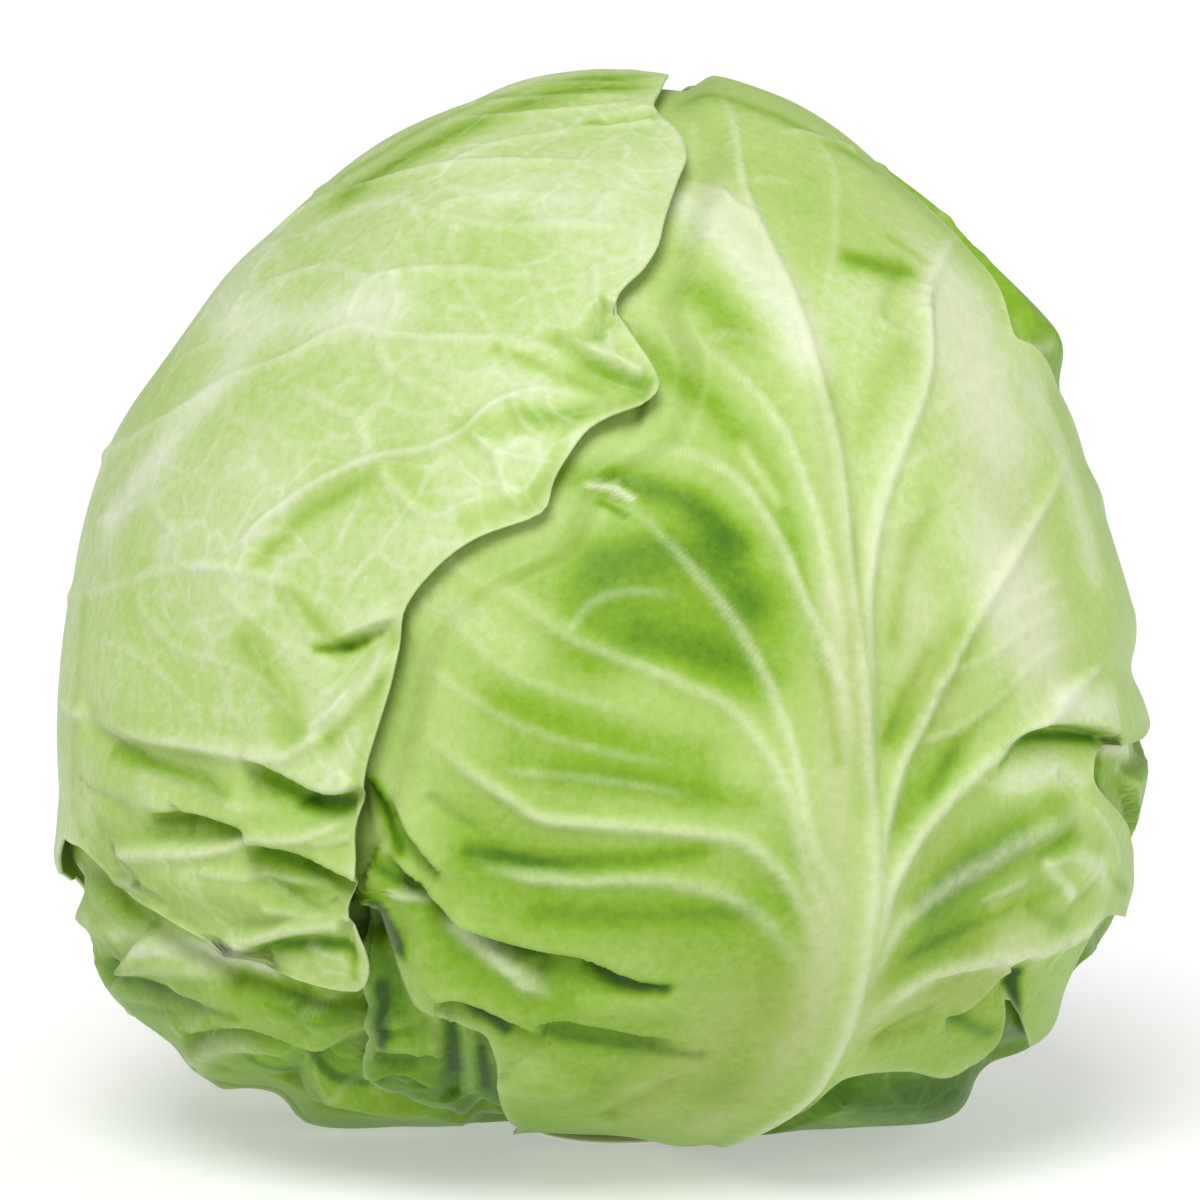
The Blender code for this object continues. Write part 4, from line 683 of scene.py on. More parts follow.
def tucked_leaf():
    outline = [
        ("sketch", [
            (352, 900), (372, 880), (420, 900), (470, 930), (530, 985), (575, 1040), (590, 1085),
            (564, 1112), (536, 1122), (514, 1120), (497, 1122), (480, 1111), (464, 1120), (450, 1109),
            (429, 1106), (403, 1094), (386, 1090), (372, 1082), (364, 1068), (366, 1050), (370, 1037),
            (362, 1016), (354, 990), (346, 960), (342, 930)]),
    ]
    lines = [
        # Tongue
        ("rib", (2.6, 2.4), (2.4, 2.2), (0.1, 0.15), 0, [
            (350, 907), (364, 920), (373, 936), (385, 966), (400, 992), (418, 1012), (430, 1036),
            (440, 1064)]),
        ("crease", (2.2, 1.8), (2.2, 2.0), (0.1, 0.1), 0, [
            (356, 940), (370, 975), (384, 1006), (394, 1032)]),
        ("rib", (1.4, 1.2), (2.2, 2.0), (0.2, 0.2), 0, [(374, 1040), (400, 1046), (430, 1046)]),
        ("crease", (1.4, 1.2), (1.6, 1.5), (0.1, 0.1), 0, [(372, 1058), (398, 1062), (436, 1056)]),
        ("fold", (1.2, 1.2), (2.6, 2.4), (0.1, 0.1), 1.8, [
            (368, 1078), (394, 1072), (414, 1074), (433, 1088)]),
        # Two finger-like folds
        ("crease", (2.6, 2.4), (2.0, 1.9), (0.15, 0.02), 0, [
            (436, 1012), (446, 1040), (452, 1072), (453, 1104)]),
        ("rib", (2.6, 2.4), (2.1, 2.0), (0.2, 0.05), 0, [
            (456, 1008), (463, 1040), (464, 1075), (465, 1108)]),
        ("crease", (2.6, 2.4), (1.6, 1.5), (0.15, 0.02), 0, [(476, 1040), (479, 1068), (484, 1106)]),
        ("rib", (2.4, 2.2), (2.0, 1.9), (0.2, 0.05), 0, [
            (474, 1014), (487, 1042), (494, 1075), (504, 1108)]),
    ]
    return outline, lines


def lower_left_leaf():
    outline = [
        ("hidden", [
            (-28, -22), (-36, -6), (-60, 4), (-92, 2), (-118, -8), (-130, -24), (-133, -42), (-134, -56),
            (-135, -67)]),
        ("foot", collar(-138, -30, 5)),
        ("hidden", [(-22, -70), (-9, -58), (-9, -46), (-20, -34)]),
    ]
    lines = [
        ("fold", (1.6, 1.4), (3.6, 3.4), (0.1, 0.2), 2.4, [
            (180, 908), (162, 919), (140, 937), (125, 956), (112, 975), (104, 992)]),
        ("rib", (2.6, 1.6), (3.4, 3.0), (0.1, 0.3), 0, [(50, 852), (64, 884), (92, 918), (112, 940)]),
        ("rib", (1.2, 0.9), (1.8, 1.6), (0.1, 0.2), 0, [
            (104, 970), (151, 967), (188, 970), (229, 972), (266, 982), (299, 990)]),
        ("crease", (2.4, 2.0), (3.0, 2.6), (0.1, 0.25), 0, [
            (96, 972), (132, 986), (169, 1000), (199, 1004), (240, 1010)]),
        ("rib", (1.5, 1.4), (4.8, 4.4), (0.2, 0.15), 0, [(160, 992), (230, 998), (290, 1012), (350, 1022)]),
        ("fold", (1.4, 1.6), (4.0, 3.6), (0.15, 0.05), 3.2, [
            (182, 1040), (199, 1030), (247, 1023), (277, 1033), (306, 1046), (336, 1053), (366, 1038)]),
        ("crease", (1.6, 1.3), (1.6, 1.5), (0.1, 0.2), 0, [
            (298, 986), (294, 1006), (297, 1022), (305, 1038)]),
        ("fold", (1.0, 1.2), (2.6, 2.4), (0.1, 0.1), 2.0, [
            (316, 1052), (330, 1062), (347, 1072), (364, 1064)]),
        ("rib", (1.6, 1.4), (4.0, 3.8), (0.2, 0.2), 0, [
            (194, 1066), (215, 1047), (250, 1043), (285, 1062)]),
        ("crease", (1.2, 1.0), (1.8, 1.6), (0.15, 0.2), 0, [
            (206, 1064), (239, 1054), (272, 1058), (290, 1074)]),
        ("crease", (1.8, 1.4), (2.2, 2.0), (0.05, 0.3), 0, [(290, 1084), (297, 1064), (300, 1046)]),
        ("rib", (1.6, 1.4), (4.8, 4.4), (0.2, 0.2), 0, [
            (312, 1086), (345, 1098), (385, 1106), (430, 1112)]),
        ("rib", (2.6, 1.2), (4.4, 2.4), (0.15, 0.3), 0, hidden_line(MIDRIB_LOWER_LEFT)),
    ]
    return outline, lines


def right_leaf():
    outline = [
        ("hidden", [
            (48, 4), (50, 26), (60, 46), (84, 62), (120, 72), (168, 74), (-156, 66), (-152, 44), (-154, 22),
            (-152, 2), (-154, -20), (-160, -40), (-172, -58)]),
        ("foot", collar(176, 30, 6)),
        ("hidden", [(20, -66), (26, -48), (38, -30), (44, -14)]),
    ]
    lines = [
        ("rib", (3.6, 1.0), (5.4, 2.0), (0.15, 0.3), 0, hidden_line(MIDRIB_RIGHT)),
        ("rib", (1.0, 0.7), (1.8, 1.5), (0.1, 0.2), 0, [
            (1012, 296), (1025, 329), (1040, 341), (1062, 342)]),
        ("rib", (1.2, 0.9), (2.6, 2.2), (0.1, 0.1), 0, [(1094, 748), (1120, 750), (1146, 754)]),
    ]
    return outline, lines


BLADES = {
    "left_leaf": dict(middle=(-97, 10), build=left_leaf, swell=0.5, ruffle=0.9, seed=11),
    "front_leaf": dict(middle=(27, 4), build=front_leaf, swell=0.5, ruffle=0.7, seed=23),
    "tucked_leaf": dict(middle=(-18, -37), build=tucked_leaf, swell=0.2, ruffle=0.3, seed=37),
    "lower_left_leaf": dict(middle=(-72, -34), build=lower_left_leaf, swell=0.5, ruffle=0.5, seed=41),
    "right_leaf": dict(middle=(126, 2), build=right_leaf, swell=0.6, ruffle=0.9, seed=53),
}


def place(directions, radius):
    """Points in metres from directions and radii in millimetres."""
    middle = np.array((*MIDDLE_SHIFT, MIDDLE_HEIGHT))
    return (directions * radius[:, None] + middle) * MM


# Further veins and folds of each leaf, finer than those of the part
FINE_VEIN = ("rib", (0.35, 0.2), (1.1, 0.9), (0.05, 0.15), 0)
FAINT_VEIN = ("rib", (0.25, 0.12), (1.1, 0.9), (0.1, 0.3), 0)
SMALL_RIDGE = ("rib", (0.7, 0.5), (1.2, 1.0), (0.1, 0.3), 0)
SMALL_GROOVE = ("crease", (0.9, 0.6), (1.3, 1.1), (0.15, 0.3), 0)


def styled(style, lines):
    return [(*style, line) for line in lines]


def left_details():
    return styled(FINE_VEIN, [
        [(547, 395), (554, 416), (585, 428)],
        [(493, 451), (524, 459), (560, 464)],
        [(360, 421), (371, 404), (402, 404)],
        [(501, 344), (517, 375), (536, 390)],
        [(362, 285), (344, 325)],
        [(245, 293), (226, 325), (228, 340)],
        [(281, 249), (277, 275)],
        [(432, 212), (452, 200), (509, 194), (554, 198), (593, 204)],
        [(611, 195), (598, 207), (596, 225), (611, 235)],
        [(450, 163), (488, 145), (534, 135), (585, 126), (649, 125)],
        [(509, 89), (560, 84), (636, 84)],
        [(470, 104), (540, 98), (620, 95)],
        [(140, 583), (137, 604), (152, 627), (183, 655), (234, 665), (260, 680), (285, 703), (305, 726)],
        [(219, 586), (247, 614), (277, 637), (311, 657), (346, 670)],
        [(285, 588), (300, 619), (318, 644)],
        [(247, 864), (277, 892), (305, 913), (340, 928)],
        [(95, 520), (150, 500), (205, 470), (228, 420), (230, 378)],
        [(160, 395), (175, 360), (225, 340), (290, 352)],
        [(150, 500), (180, 540), (174, 566)],
        [(228, 420), (270, 425), (300, 460), (300, 494)],
        [(452, 266), (470, 300), (500, 342)],
        [(536, 274), (560, 300), (566, 350)],
        [(390, 275), (400, 300), (384, 334)],
        [(452, 223), (448, 245), (455, 266)],
        [(100, 640), (140, 655), (185, 700), (215, 748)],
        [(234, 665), (222, 700), (250, 735)],
        [(514, 395), (520, 425), (545, 440)],
        [(417, 341), (430, 370), (470, 380), (510, 372)],
    ]) + styled(SMALL_RIDGE, [
        [(594, 262), (596, 293), (600, 321), (592, 350)],
        [(607, 325), (611, 357), (632, 372)],
        [(655, 122), (628, 124), (600, 128)],
        [(300, 946), (323, 956), (352, 960)],
        [(350, 690), (330, 716), (300, 730)],
        [(90, 880), (130, 880), (175, 890)],
        [(128, 770), (200, 790), (250, 806), (290, 812)],
        [(200, 868), (260, 876), (310, 884), (350, 890)],
        [(262, 905), (300, 916), (340, 918)],
        [(352, 836), (330, 842), (310, 842)],
    ]) + styled(SMALL_GROOVE, [
        [(646, 112), (625, 114), (596, 120)],
        [(600, 308), (592, 330), (576, 346)],
        [(140, 835), (183, 836), (225, 838)],
        [(250, 878), (290, 892), (335, 902)],
        [(230, 925), (262, 922), (300, 918)],
        [(80, 790), (115, 800), (150, 825)],
        [(258, 780), (290, 798), (320, 806)],
        [(290, 862), (320, 874), (352, 890)],
        [(330, 900), (342, 912), (346, 920)],
        [(120, 740), (150, 748), (190, 756), (230, 764)],
        [(316, 740), (338, 716), (362, 680)],
    ])


def front_details():
    return styled(FAINT_VEIN, [
        [(675, 221), (714, 236), (734, 251), (757, 262)],
        [(813, 137), (834, 165), (837, 203), (834, 241), (826, 292), (812, 360)],
        [(1065, 577), (1035, 596), (1006, 611), (975, 622)],
        [(912, 420), (950, 400), (990, 372), (1020, 360)],
        [(888, 472), (930, 455), (975, 425), (1020, 400)],
        [(872, 528), (905, 520), (950, 490), (1000, 450)],
        [(700, 345), (730, 330), (780, 350), (800, 380)],
        [(565, 640), (590, 600), (640, 590), (690, 600)],
        [(440, 600), (470, 640), (520, 680), (590, 700), (660, 720)],
        [(420, 660), (470, 700), (540, 735), (620, 755), (700, 770)],
        [(500, 770), (560, 775), (640, 785), (710, 800)],
        [(970, 775), (1010, 790), (1050, 790)],
        [(943, 672), (985, 660), (1030, 625), (1080, 600)],
        [(905, 746), (955, 730), (1000, 700), (1040, 655), (1090, 630)],
        [(690, 162), (700, 130), (690, 100)],
        [(740, 185), (775, 175), (800, 190)],
        [(795, 305), (760, 290), (720, 290)],
    ]) + styled(SMALL_RIDGE, [
        [(585, 477), (606, 486), (628, 494), (642, 512)],
        [(594, 472), (602, 482), (600, 494)],
        [(612, 478), (618, 490), (614, 502)],
        [(912, 300), (924, 304), (934, 300)],
        [(914, 288), (926, 292), (936, 288)],
        [(914, 312), (926, 316), (936, 312)],
        [(1040, 866), (1058, 860), (1076, 855)],
        [(1050, 705), (1078, 682), (1104, 660)],
        [(1088, 806), (1110, 832), (1122, 870)],
        [(1046, 862), (1066, 880), (1072, 905)],
        [(1085, 925), (1060, 945), (1046, 975)],
        [(980, 905), (1010, 890), (1036, 884)],
    ]) + styled(SMALL_GROOVE, [
        [(1068, 838), (1050, 850), (1030, 862)],
        [(1100, 880), (1080, 900), (1060, 915)],
        [(1060, 772), (1078, 790), (1084, 812)],
        [(592, 490), (612, 500), (632, 512)],
        [(579, 964), (617, 988), (645, 992), (680, 986)],
        [(553, 1026), (575, 1024), (617, 1035), (655, 1045), (685, 1050)],
        [(424, 792), (450, 818), (490, 836)],
        [(900, 985), (950, 975), (1000, 968)],
        [(410, 880), (430, 902), (455, 924)],
        [(860, 1046), (900, 1034), (940, 1026)],
    ])


def tucked_details():
    return styled(SMALL_RIDGE, [
        [(384, 985), (402, 1010), (420, 1040), (424, 1075)],
        [(370, 1068), (398, 1080), (432, 1080)],
        [(378, 1022), (400, 1030), (422, 1022)],
    ]) + styled(SMALL_GROOVE, [
        [(378, 975), (396, 1005), (412, 1038)],
        [(376, 1034), (402, 1038), (428, 1034)],
        [(398, 1088), (410, 1096), (430, 1094)],
        [(496, 1046), (502, 1070), (510, 1098)],
        [(458, 1030), (459, 1066), (459, 1098)],
    ])


def lower_left_details():
    return styled(FINE_VEIN, [
        [(110, 960), (150, 948), (205, 958), (250, 985)],
        [(196, 1027), (206, 1010), (210, 996)],
        [(300, 1012), (330, 1006), (352, 1008)],
        [(330, 1100), (350, 1080), (385, 1100)],
        [(90, 900), (110, 920), (124, 940)],
    ]) + styled(SMALL_GROOVE, [
        [(120, 1005), (165, 1014), (200, 1020)],
        [(180, 1060), (225, 1068), (270, 1076)],
        [(305, 1044), (330, 1074), (362, 1090)],
        [(310, 1105), (350, 1114), (400, 1112)],
        [(100, 880), (125, 902), (150, 922)],
    ])


# Secondary veins: span along the midrib, spread of their length, points, bend, wave and direction of each
VEIN_SPAN = (0.12, 0.9)
VEIN_LENGTHS = (0.75, 0.5)
VEIN_TAPER = 0.45
VEIN_WANDER = 0.12
VEIN_POINTS = 9
VEIN_BEND = (0.55, 0.75)
VEIN_WAVE = 5
VEIN_ACROSS = (0.95, 0.1)
VEIN_AHEAD = 0.7
VEIN_TIP = 0.4
VEIN_WIDTHS = (2.2, 1.1)
VEIN_ENDS = (0.0, 0.25)
# Their forks: points that they leave from, length in points, spread, bend and shares of the vein's height
FORKS = (3, 5)
FORK_LENGTH = 3
FORK_SPREAD = (-2, 2)
FORK_BEND = 0.12
FORK_HEIGHTS = (0.45, 0.2)
FORK_WIDTHS = (1.2, 0.9)
FORK_ENDS = (0.0, 0.3)


def side_veins(midrib, count, reach, first, seed):
    """Secondary veins to both sides of a midrib, with a few forks, as hidden lines."""
    random = np.random.default_rng(seed)
    spine = hidden_line(midrib)
    steps = np.linspace(*VEIN_SPAN, count)
    made = []
    for share in steps:
        place_on = share * (len(spine) - 1)
        low = int(place_on)
        start = spine[low] + (spine[min(low + 1, len(spine) - 1)] - spine[low]) * (place_on - low)
        ahead = spine[min(low + 1, len(spine) - 1)] - spine[max(low - 1, 0)]
        ahead /= np.linalg.norm(ahead)
        for way in (-1, 1):
            across = np.cross(start, ahead) * way
            line = []
            length = reach * (VEIN_LENGTHS[0] + VEIN_LENGTHS[1] * random.random()) * (1 - VEIN_TAPER * share)
            wander = random.uniform(-VEIN_WANDER, VEIN_WANDER, 2)
            for travel in np.linspace(0, 1, VEIN_POINTS):
                bend = VEIN_BEND[0] + VEIN_BEND[1] * travel + wander[0] * math.sin(VEIN_WAVE * travel)
                aside = across * (VEIN_ACROSS[0] - VEIN_ACROSS[1] * travel)
                point = start + length * travel * (aside + ahead * bend * VEIN_AHEAD)
                line.append(point / np.linalg.norm(point))
            line = np.array(line)
            made.append(Stroke("rib", (first, first * VEIN_TIP), VEIN_WIDTHS, VEIN_ENDS, 0, line))
            for fork in FORKS:
                stem = line[fork]
                aside = np.cross(stem, line[fork + 1] - line[fork])
                tip = line[min(fork + FORK_LENGTH, VEIN_POINTS - 1)] + aside * random.choice(FORK_SPREAD)
                tip /= np.linalg.norm(tip)
                middle = stem * 0.5 + tip * 0.5
                middle += np.cross(stem, tip - stem) * FORK_BEND
                middle /= np.linalg.norm(middle)
                twig = np.array([stem, middle, tip])
                heights = (first * FORK_HEIGHTS[0], first * FORK_HEIGHTS[1])
                made.append(Stroke("rib", heights, FORK_WIDTHS, FORK_ENDS, 0, twig))
    return made


# Paler and darker streaks: painted shade in folds, creases, pockets and under margins, and painted highlights on
# crests and glints, with some of the leaf's own paler and greener colour. Line on the sketch, half width in sketch
# steps and change of tone
TONE_AND_PAINTED_SHADING_STREAKS = {
    "left_leaf": [
        ([(350, 190), (420, 148), (520, 104), (610, 84)], 34, -0.34),
        ([(320, 226), (360, 206), (400, 200)], 14, 0.10),
        ([(345, 172), (440, 118), (540, 84), (640, 76)], 16, -0.16),
        ([(470, 100), (560, 92), (650, 88)], 8, -0.12),
        ([(590, 122), (630, 120), (652, 116)], 8, -0.22),
        ([(262, 560), (290, 525), (330, 496), (370, 476)], 16, -0.18),
        ([(400, 470), (430, 500)], 22, -0.08),
        ([(560, 342), (600, 372), (650, 382)], 15, -0.26),
        ([(500, 352), (550, 372), (600, 392)], 12, -0.20),
        ([(520, 412), (560, 424), (600, 410), (640, 398)], 16, -0.22),
        ([(470, 520), (520, 505), (545, 480)], 18, -0.12),
        ([(602, 300), (596, 336)], 8, -0.22),
        ([(560, 440), (552, 480), (530, 505)], 16, -0.16),
        ([(290, 592), (318, 625), (345, 645)], 13, -0.18),
        ([(318, 648), (342, 650), (362, 642)], 8, -0.34),
        ([(330, 740), (356, 712), (382, 680)], 12, -0.24),
        ([(250, 640), (280, 690), (300, 740)], 24, -0.20),
        ([(395, 640), (380, 700), (360, 780)], 12, -0.16),
        ([(110, 752), (160, 776), (230, 796)], 9, -0.22),
        ([(300, 806), (350, 804)], 9, -0.26),
        ([(262, 780), (300, 800), (340, 808)], 12, -0.14),
        ([(158, 820), (200, 822), (250, 832)], 11, -0.18),
        ([(262, 852), (310, 872), (352, 892)], 15, -0.24),
        ([(250, 950), (300, 948), (345, 950)], 10, -0.34),
        ([(352, 950), (356, 975)], 7, -0.30),
        ([(110, 885), (200, 895), (300, 905)], 46, -0.16),
        ([(110, 810), (240, 820), (340, 840)], 50, -0.16),
        ([(500, 200), (600, 210)], 60, 0.04),
        ([(230, 320), (300, 320), (380, 310)], 44, 0.14),
        ([(85, 600), (75, 700), (72, 800)], 18, -0.10),
        ([(110, 520), (160, 450), (230, 370)], 40, 0.16),
        ([(470, 430), (540, 425), (580, 415)], 20, -0.16),
        ([(90, 800), (170, 800)], 26, 0.08),
    ],
    "front_leaf": [
        ([(590, 600), (660, 590), (730, 620)], 70, -0.26),
        ([(600, 562), (660, 545), (720, 560), (752, 596)], 34, -0.24),
        ([(560, 470), (620, 480), (690, 500), (740, 540)], 24, -0.26),
        ([(640, 640), (700, 650), (770, 680)], 24, -0.12),
        ([(480, 860), (600, 900), (700, 900)], 90, -0.16),
        ([(460, 960), (540, 1000), (640, 1040)], 60, -0.12),
        ([(425, 640), (450, 720)], 30, 0.06),
        ([(500, 700), (600, 735), (700, 755)], 28, -0.20),
        ([(560, 772), (660, 785), (750, 800)], 18, -0.16),
        ([(470, 852), (540, 868), (620, 860), (700, 850)], 14, -0.22),
        ([(540, 912), (650, 915), (750, 910)], 20, -0.16),
        ([(590, 968), (625, 988), (665, 988)], 9, -0.50),
        ([(480, 945), (540, 962)], 9, -0.24),
        ([(366, 790), (380, 820), (396, 850)], 13, -0.44),
        ([(366, 868), (386, 884), (405, 894)], 10, -0.24),
        ([(368, 915), (382, 936), (394, 958)], 12, -0.62),
        ([(470, 1012), (505, 1032)], 9, -0.45),
        ([(545, 1032), (620, 1050), (700, 1056)], 11, -0.20),
        ([(744, 448), (762, 476), (776, 500)], 11, 0.30),
        # Upper right: lighter, partly painted sheen
        ([(960, 290), (990, 420), (1000, 540), (1030, 640)], 90, 0.22),
        ([(1040, 400), (1070, 480), (1090, 560)], 44, 0.14),
        ([(860, 300), (880, 450), (880, 560)], 60, 0.08),
        ([(940, 820), (960, 900), (950, 980)], 70, -0.08),
        ([(1060, 700), (1110, 700)], 26, 0.18),
        ([(1010, 780), (1060, 770), (1080, 790)], 26, 0.24),
        ([(1080, 850), (1110, 880)], 22, 0.18),
        ([(892, 640), (902, 560), (930, 500)], 15, -0.16),
        ([(884, 740), (900, 700), (925, 650)], 10, -0.14),
        ([(930, 790), (960, 735), (1010, 690)], 13, -0.16),
        ([(690, 190), (740, 250), (800, 350)], 40, 0.22),
        ([(640, 290), (690, 320)], 30, 0.08),
        ([(640, 335), (700, 390), (760, 460), (790, 540)], 22, -0.20),
        ([(860, 440), (880, 380), (900, 350)], 20, -0.12),
        ([(700, 92), (760, 108), (860, 160)], 22, -0.18),
        ([(850, 262), (880, 268), (905, 270)], 20, -0.34),
        ([(892, 240), (925, 262)], 12, -0.16),
        ([(800, 560), (822, 660), (834, 760)], 9, -0.16),
        ([(1000, 762), (1030, 738), (1104, 740)], 8, -0.42),
        ([(1014, 1032), (1018, 1000), (1022, 976)], 9, -0.60),
        ([(916, 900), (958, 876), (1027, 838)], 14, -0.12),
        ([(910, 955), (1000, 915), (1060, 888)], 10, -0.14),
        ([(870, 1036), (930, 1010)], 10, -0.10),
        ([(958, 1022), (990, 1034)], 13, -0.24),
        ([(1050, 800), (1090, 790)], 12, -0.10),
        ([(530, 1062), (580, 1090), (640, 1092)], 22, 0.12),
        ([(445, 560), (520, 600), (600, 640)], 14, 0.10),
        ([(700, 296), (735, 330)], 32, -0.18),
        ([(610, 470), (650, 490)], 26, -0.12),
        ([(690, 500), (720, 540)], 30, -0.16),
        ([(600, 650), (660, 640), (730, 680)], 44, -0.16),
        ([(520, 760), (600, 765), (700, 790)], 30, -0.12),
        ([(905, 730), (930, 690), (960, 640)], 32, -0.26),
        ([(900, 810), (950, 750)], 30, -0.18),
        ([(930, 900), (1000, 850), (1060, 826)], 38, -0.26),
        ([(890, 970), (960, 950)], 40, -0.14),
        ([(800, 860), (775, 980), (730, 1090)], 46, -0.14),
        ([(550, 1080), (600, 1090)], 34, -0.16),
        ([(980, 470), (1010, 520)], 40, -0.10),
        ([(920, 540), (940, 580)], 30, -0.08),
        ([(820, 400), (848, 600), (860, 800)], 20, -0.18),
        ([(846, 540), (852, 640)], 16, -0.12),
        ([(1046, 866), (1070, 894)], 9, 0.24),
        ([(1022, 880), (1000, 905)], 13, 0.12),
        ([(1070, 835), (1098, 848)], 12, -0.18),
        ([(1030, 908), (1062, 922)], 12, -0.16),
        ([(1108, 872), (1126, 892)], 8, -0.16),
        ([(1000, 940), (1040, 930)], 14, 0.10),
        ([(430, 600), (480, 620), (520, 645)], 30, 0.14),
        ([(588, 480), (610, 488), (630, 500)], 5, 0.50),
        ([(600, 502), (625, 516)], 6, -0.30),
        ([(930, 540), (940, 600)], 40, 0.08),
    ],
    "tucked_leaf": [
        ([(372, 1000), (384, 1040)], 10, -0.36),
        ([(446, 1030), (452, 1080)], 8, -0.20),
        ([(478, 1060), (482, 1100)], 6, -0.18),
        ([(420, 1010), (440, 1060)], 10, 0.08),
    ],
    "lower_left_leaf": [
        ([(150, 917), (160, 921)], 6, -0.60),
        ([(110, 978), (170, 1000), (240, 1010)], 9, -0.22),
        ([(110, 940), (200, 958), (260, 975)], 20, 0.38),
        ([(250, 1060), (290, 1075)], 9, -0.20),
        ([(300, 1050), (330, 1078), (364, 1090)], 9, -0.28),
        ([(240, 985), (300, 1010), (350, 1026)], 18, -0.16),
        ([(320, 1095), (400, 1108)], 16, -0.08),
    ],
    "right_leaf": [
        ([(1020, 310), (1050, 350)], 24, 0.10),
        ([(1096, 750), (1144, 752)], 9, 0.46),
        ([(1132, 770), (1142, 800)], 8, 0.20),
        ([(830, 1100), (900, 1105), (960, 1100)], 34, -0.16),
        ([(1098, 764), (1106, 790), (1114, 812)], 14, -0.62),
    ],
}

# Yellower flesh towards the foot and along the midrib, and a creamy wash over the upper right that is partly
# painted sheen: the same kind of lines
CREAM_AND_SHEEN_STREAKS = {
    "left_leaf": [],
    "front_leaf": [
        ([(700, 1120), (770, 1070), (815, 980), (828, 860), (834, 740), (828, 600)], 26, 0.8),
        ([(760, 1000), (700, 1060), (640, 1110)], 60, 0.8),
        ([(880, 1010), (940, 1000), (1000, 960)], 60, 0.75),
        ([(880, 900), (940, 840)], 40, 0.30),
        ([(795, 290), (815, 400), (835, 520), (850, 640), (862, 760)], 26, 0.55),
        # Upper right: creamy wash, partly the leaf's paler flesh and partly painted sheen
        ([(960, 330), (990, 450), (1010, 560), (1040, 640)], 85, 0.85),
        ([(900, 560), (910, 640), (930, 700)], 50, 0.75),
        ([(710, 180), (740, 220), (770, 260)], 32, 0.55),
        ([(880, 210), (930, 250)], 36, 0.45),
    ],
    "tucked_leaf": [],
    "lower_left_leaf": [([(120, 1030), (250, 1080), (400, 1120)], 30, 0.25)],
    "right_leaf": [],
}

# Cells of each leaf's grid, where it is drawn closer, tone, shares of net and ribs, details and hidden veins
LOOKS = {
    "left_leaf": dict(cells=291, focus=(-45, 8), tone=0.75, net=1.0, ribs=0.75, details=left_details,
                      midrib=MIDRIB_LEFT, veins=(9, 0.95, 1.0)),
    "front_leaf": dict(cells=291, focus=None, tone=0.64, net=0.22, ribs=0.9, details=front_details,
                       midrib=None, veins=None),
    "tucked_leaf": dict(cells=120, focus=None, tone=0.40, net=0.4, ribs=0.15, details=tucked_details,
                        midrib=None, veins=None),
    "lower_left_leaf": dict(cells=180, focus=(-55, -40), tone=0.52, net=0.7, ribs=0.45,
                            details=lower_left_details, midrib=MIDRIB_LOWER_LEFT, veins=(6, 0.6, 0.8)),
    "right_leaf": dict(cells=201, focus=None, tone=0.40, net=0.8, ribs=0.8, details=list,
                       midrib=MIDRIB_RIGHT, veins=(9, 0.95, 1.1)),
}

# Inner face: cells of the outer face to one of its own, thickness of the margin, and blends, in millimetres
BACKING_SHARE = 3
RIM_THICKNESS = 0.6
RIM_BLEND = 7.0
RIM_LINE = 1.2
SAFE_GAP = 0.3
# Painted shade in grooves and painted light on crests: change of tone per millimetre of relief, and its limits
RELIEF_SHADING = 0.055
RELIEF_SHADING_LIMITS = (-0.22, 0.10)
# Painted shade towards the underside: darker green by the sine of the elevation
UNDER_SHADE = -0.18
UNDER_SHADE_START = -0.2
UNDER_SHADE_SPREAD = 0.6


# Veins: widest ridge that is one, share of its width that is pale, least width in millimetres, and how
# clearly it shows by its height
BROAD_VEIN = 4.5
VEIN_SHARE = 0.68
LEAST_VEIN = 0.8
VEIN_BASE = 0.22
VEIN_GAIN = 0.42
# Veins drawn by rule stay this far from the side that faces the viewer
FRONT_LIMIT = 0.12


def inner_radius(blades, number, directions, outer):
    """Inner face: close under the margin, and below every groove further in."""
    blade = blades[number]
    lowered = np.zeros(len(directions))
    for upper in blades[:number]:
        lowered += upper.covering(directions) * (upper.lowest(directions) - BLADE_THICKNESS - BLADE_GAP)
    safe = above_floor(directions, bare_radius(directions) + blade.lowest(directions)) + lowered
    deep = smoothstep(blade.inside(directions) / RIM_BLEND)
    near_margin = np.minimum(outer - RIM_THICKNESS, safe - SAFE_GAP + (outer - safe) * (1 - deep))
    return np.where(deep > 0, np.minimum(near_margin, outer - RIM_THICKNESS), outer - RIM_THICKNESS)


def vein_mask(blade, directions):
    """How much of a vein covers each point, by the height of the ridges there."""
    mask = np.zeros(len(directions))
    for mark in blade.relief:
        if mark.kind != "rib" or max(mark.widths) > BROAD_VEIN:
            continue
        index, distance, _, share = mark.nearest(directions, REACH * max(mark.widths))
        width = np.maximum(mark.width(share) * VEIN_SHARE, LEAST_VEIN)
        tall = mark.heights[0] + (mark.heights[1] - mark.heights[0]) * share
        seen_by = np.clip(VEIN_BASE + VEIN_GAIN * tall, 0.0, 1.0) * mark.strength(share)
        mask[index] = np.maximum(mask[index], np.exp(-((distance / width) ** 2)) * seen_by)
    return mask


def streaks(lines, directions):
    """Sum of soft streaks drawn on the sketch."""
    total = np.zeros(len(directions))
    for points, half_width, change in lines:
        width = half_width * STEP
        mark = Stroke("rib", (1.0, 1.0), (width, width), (0.0, 0.0), 0, points)
        total += change * mark.values(directions)
    return total


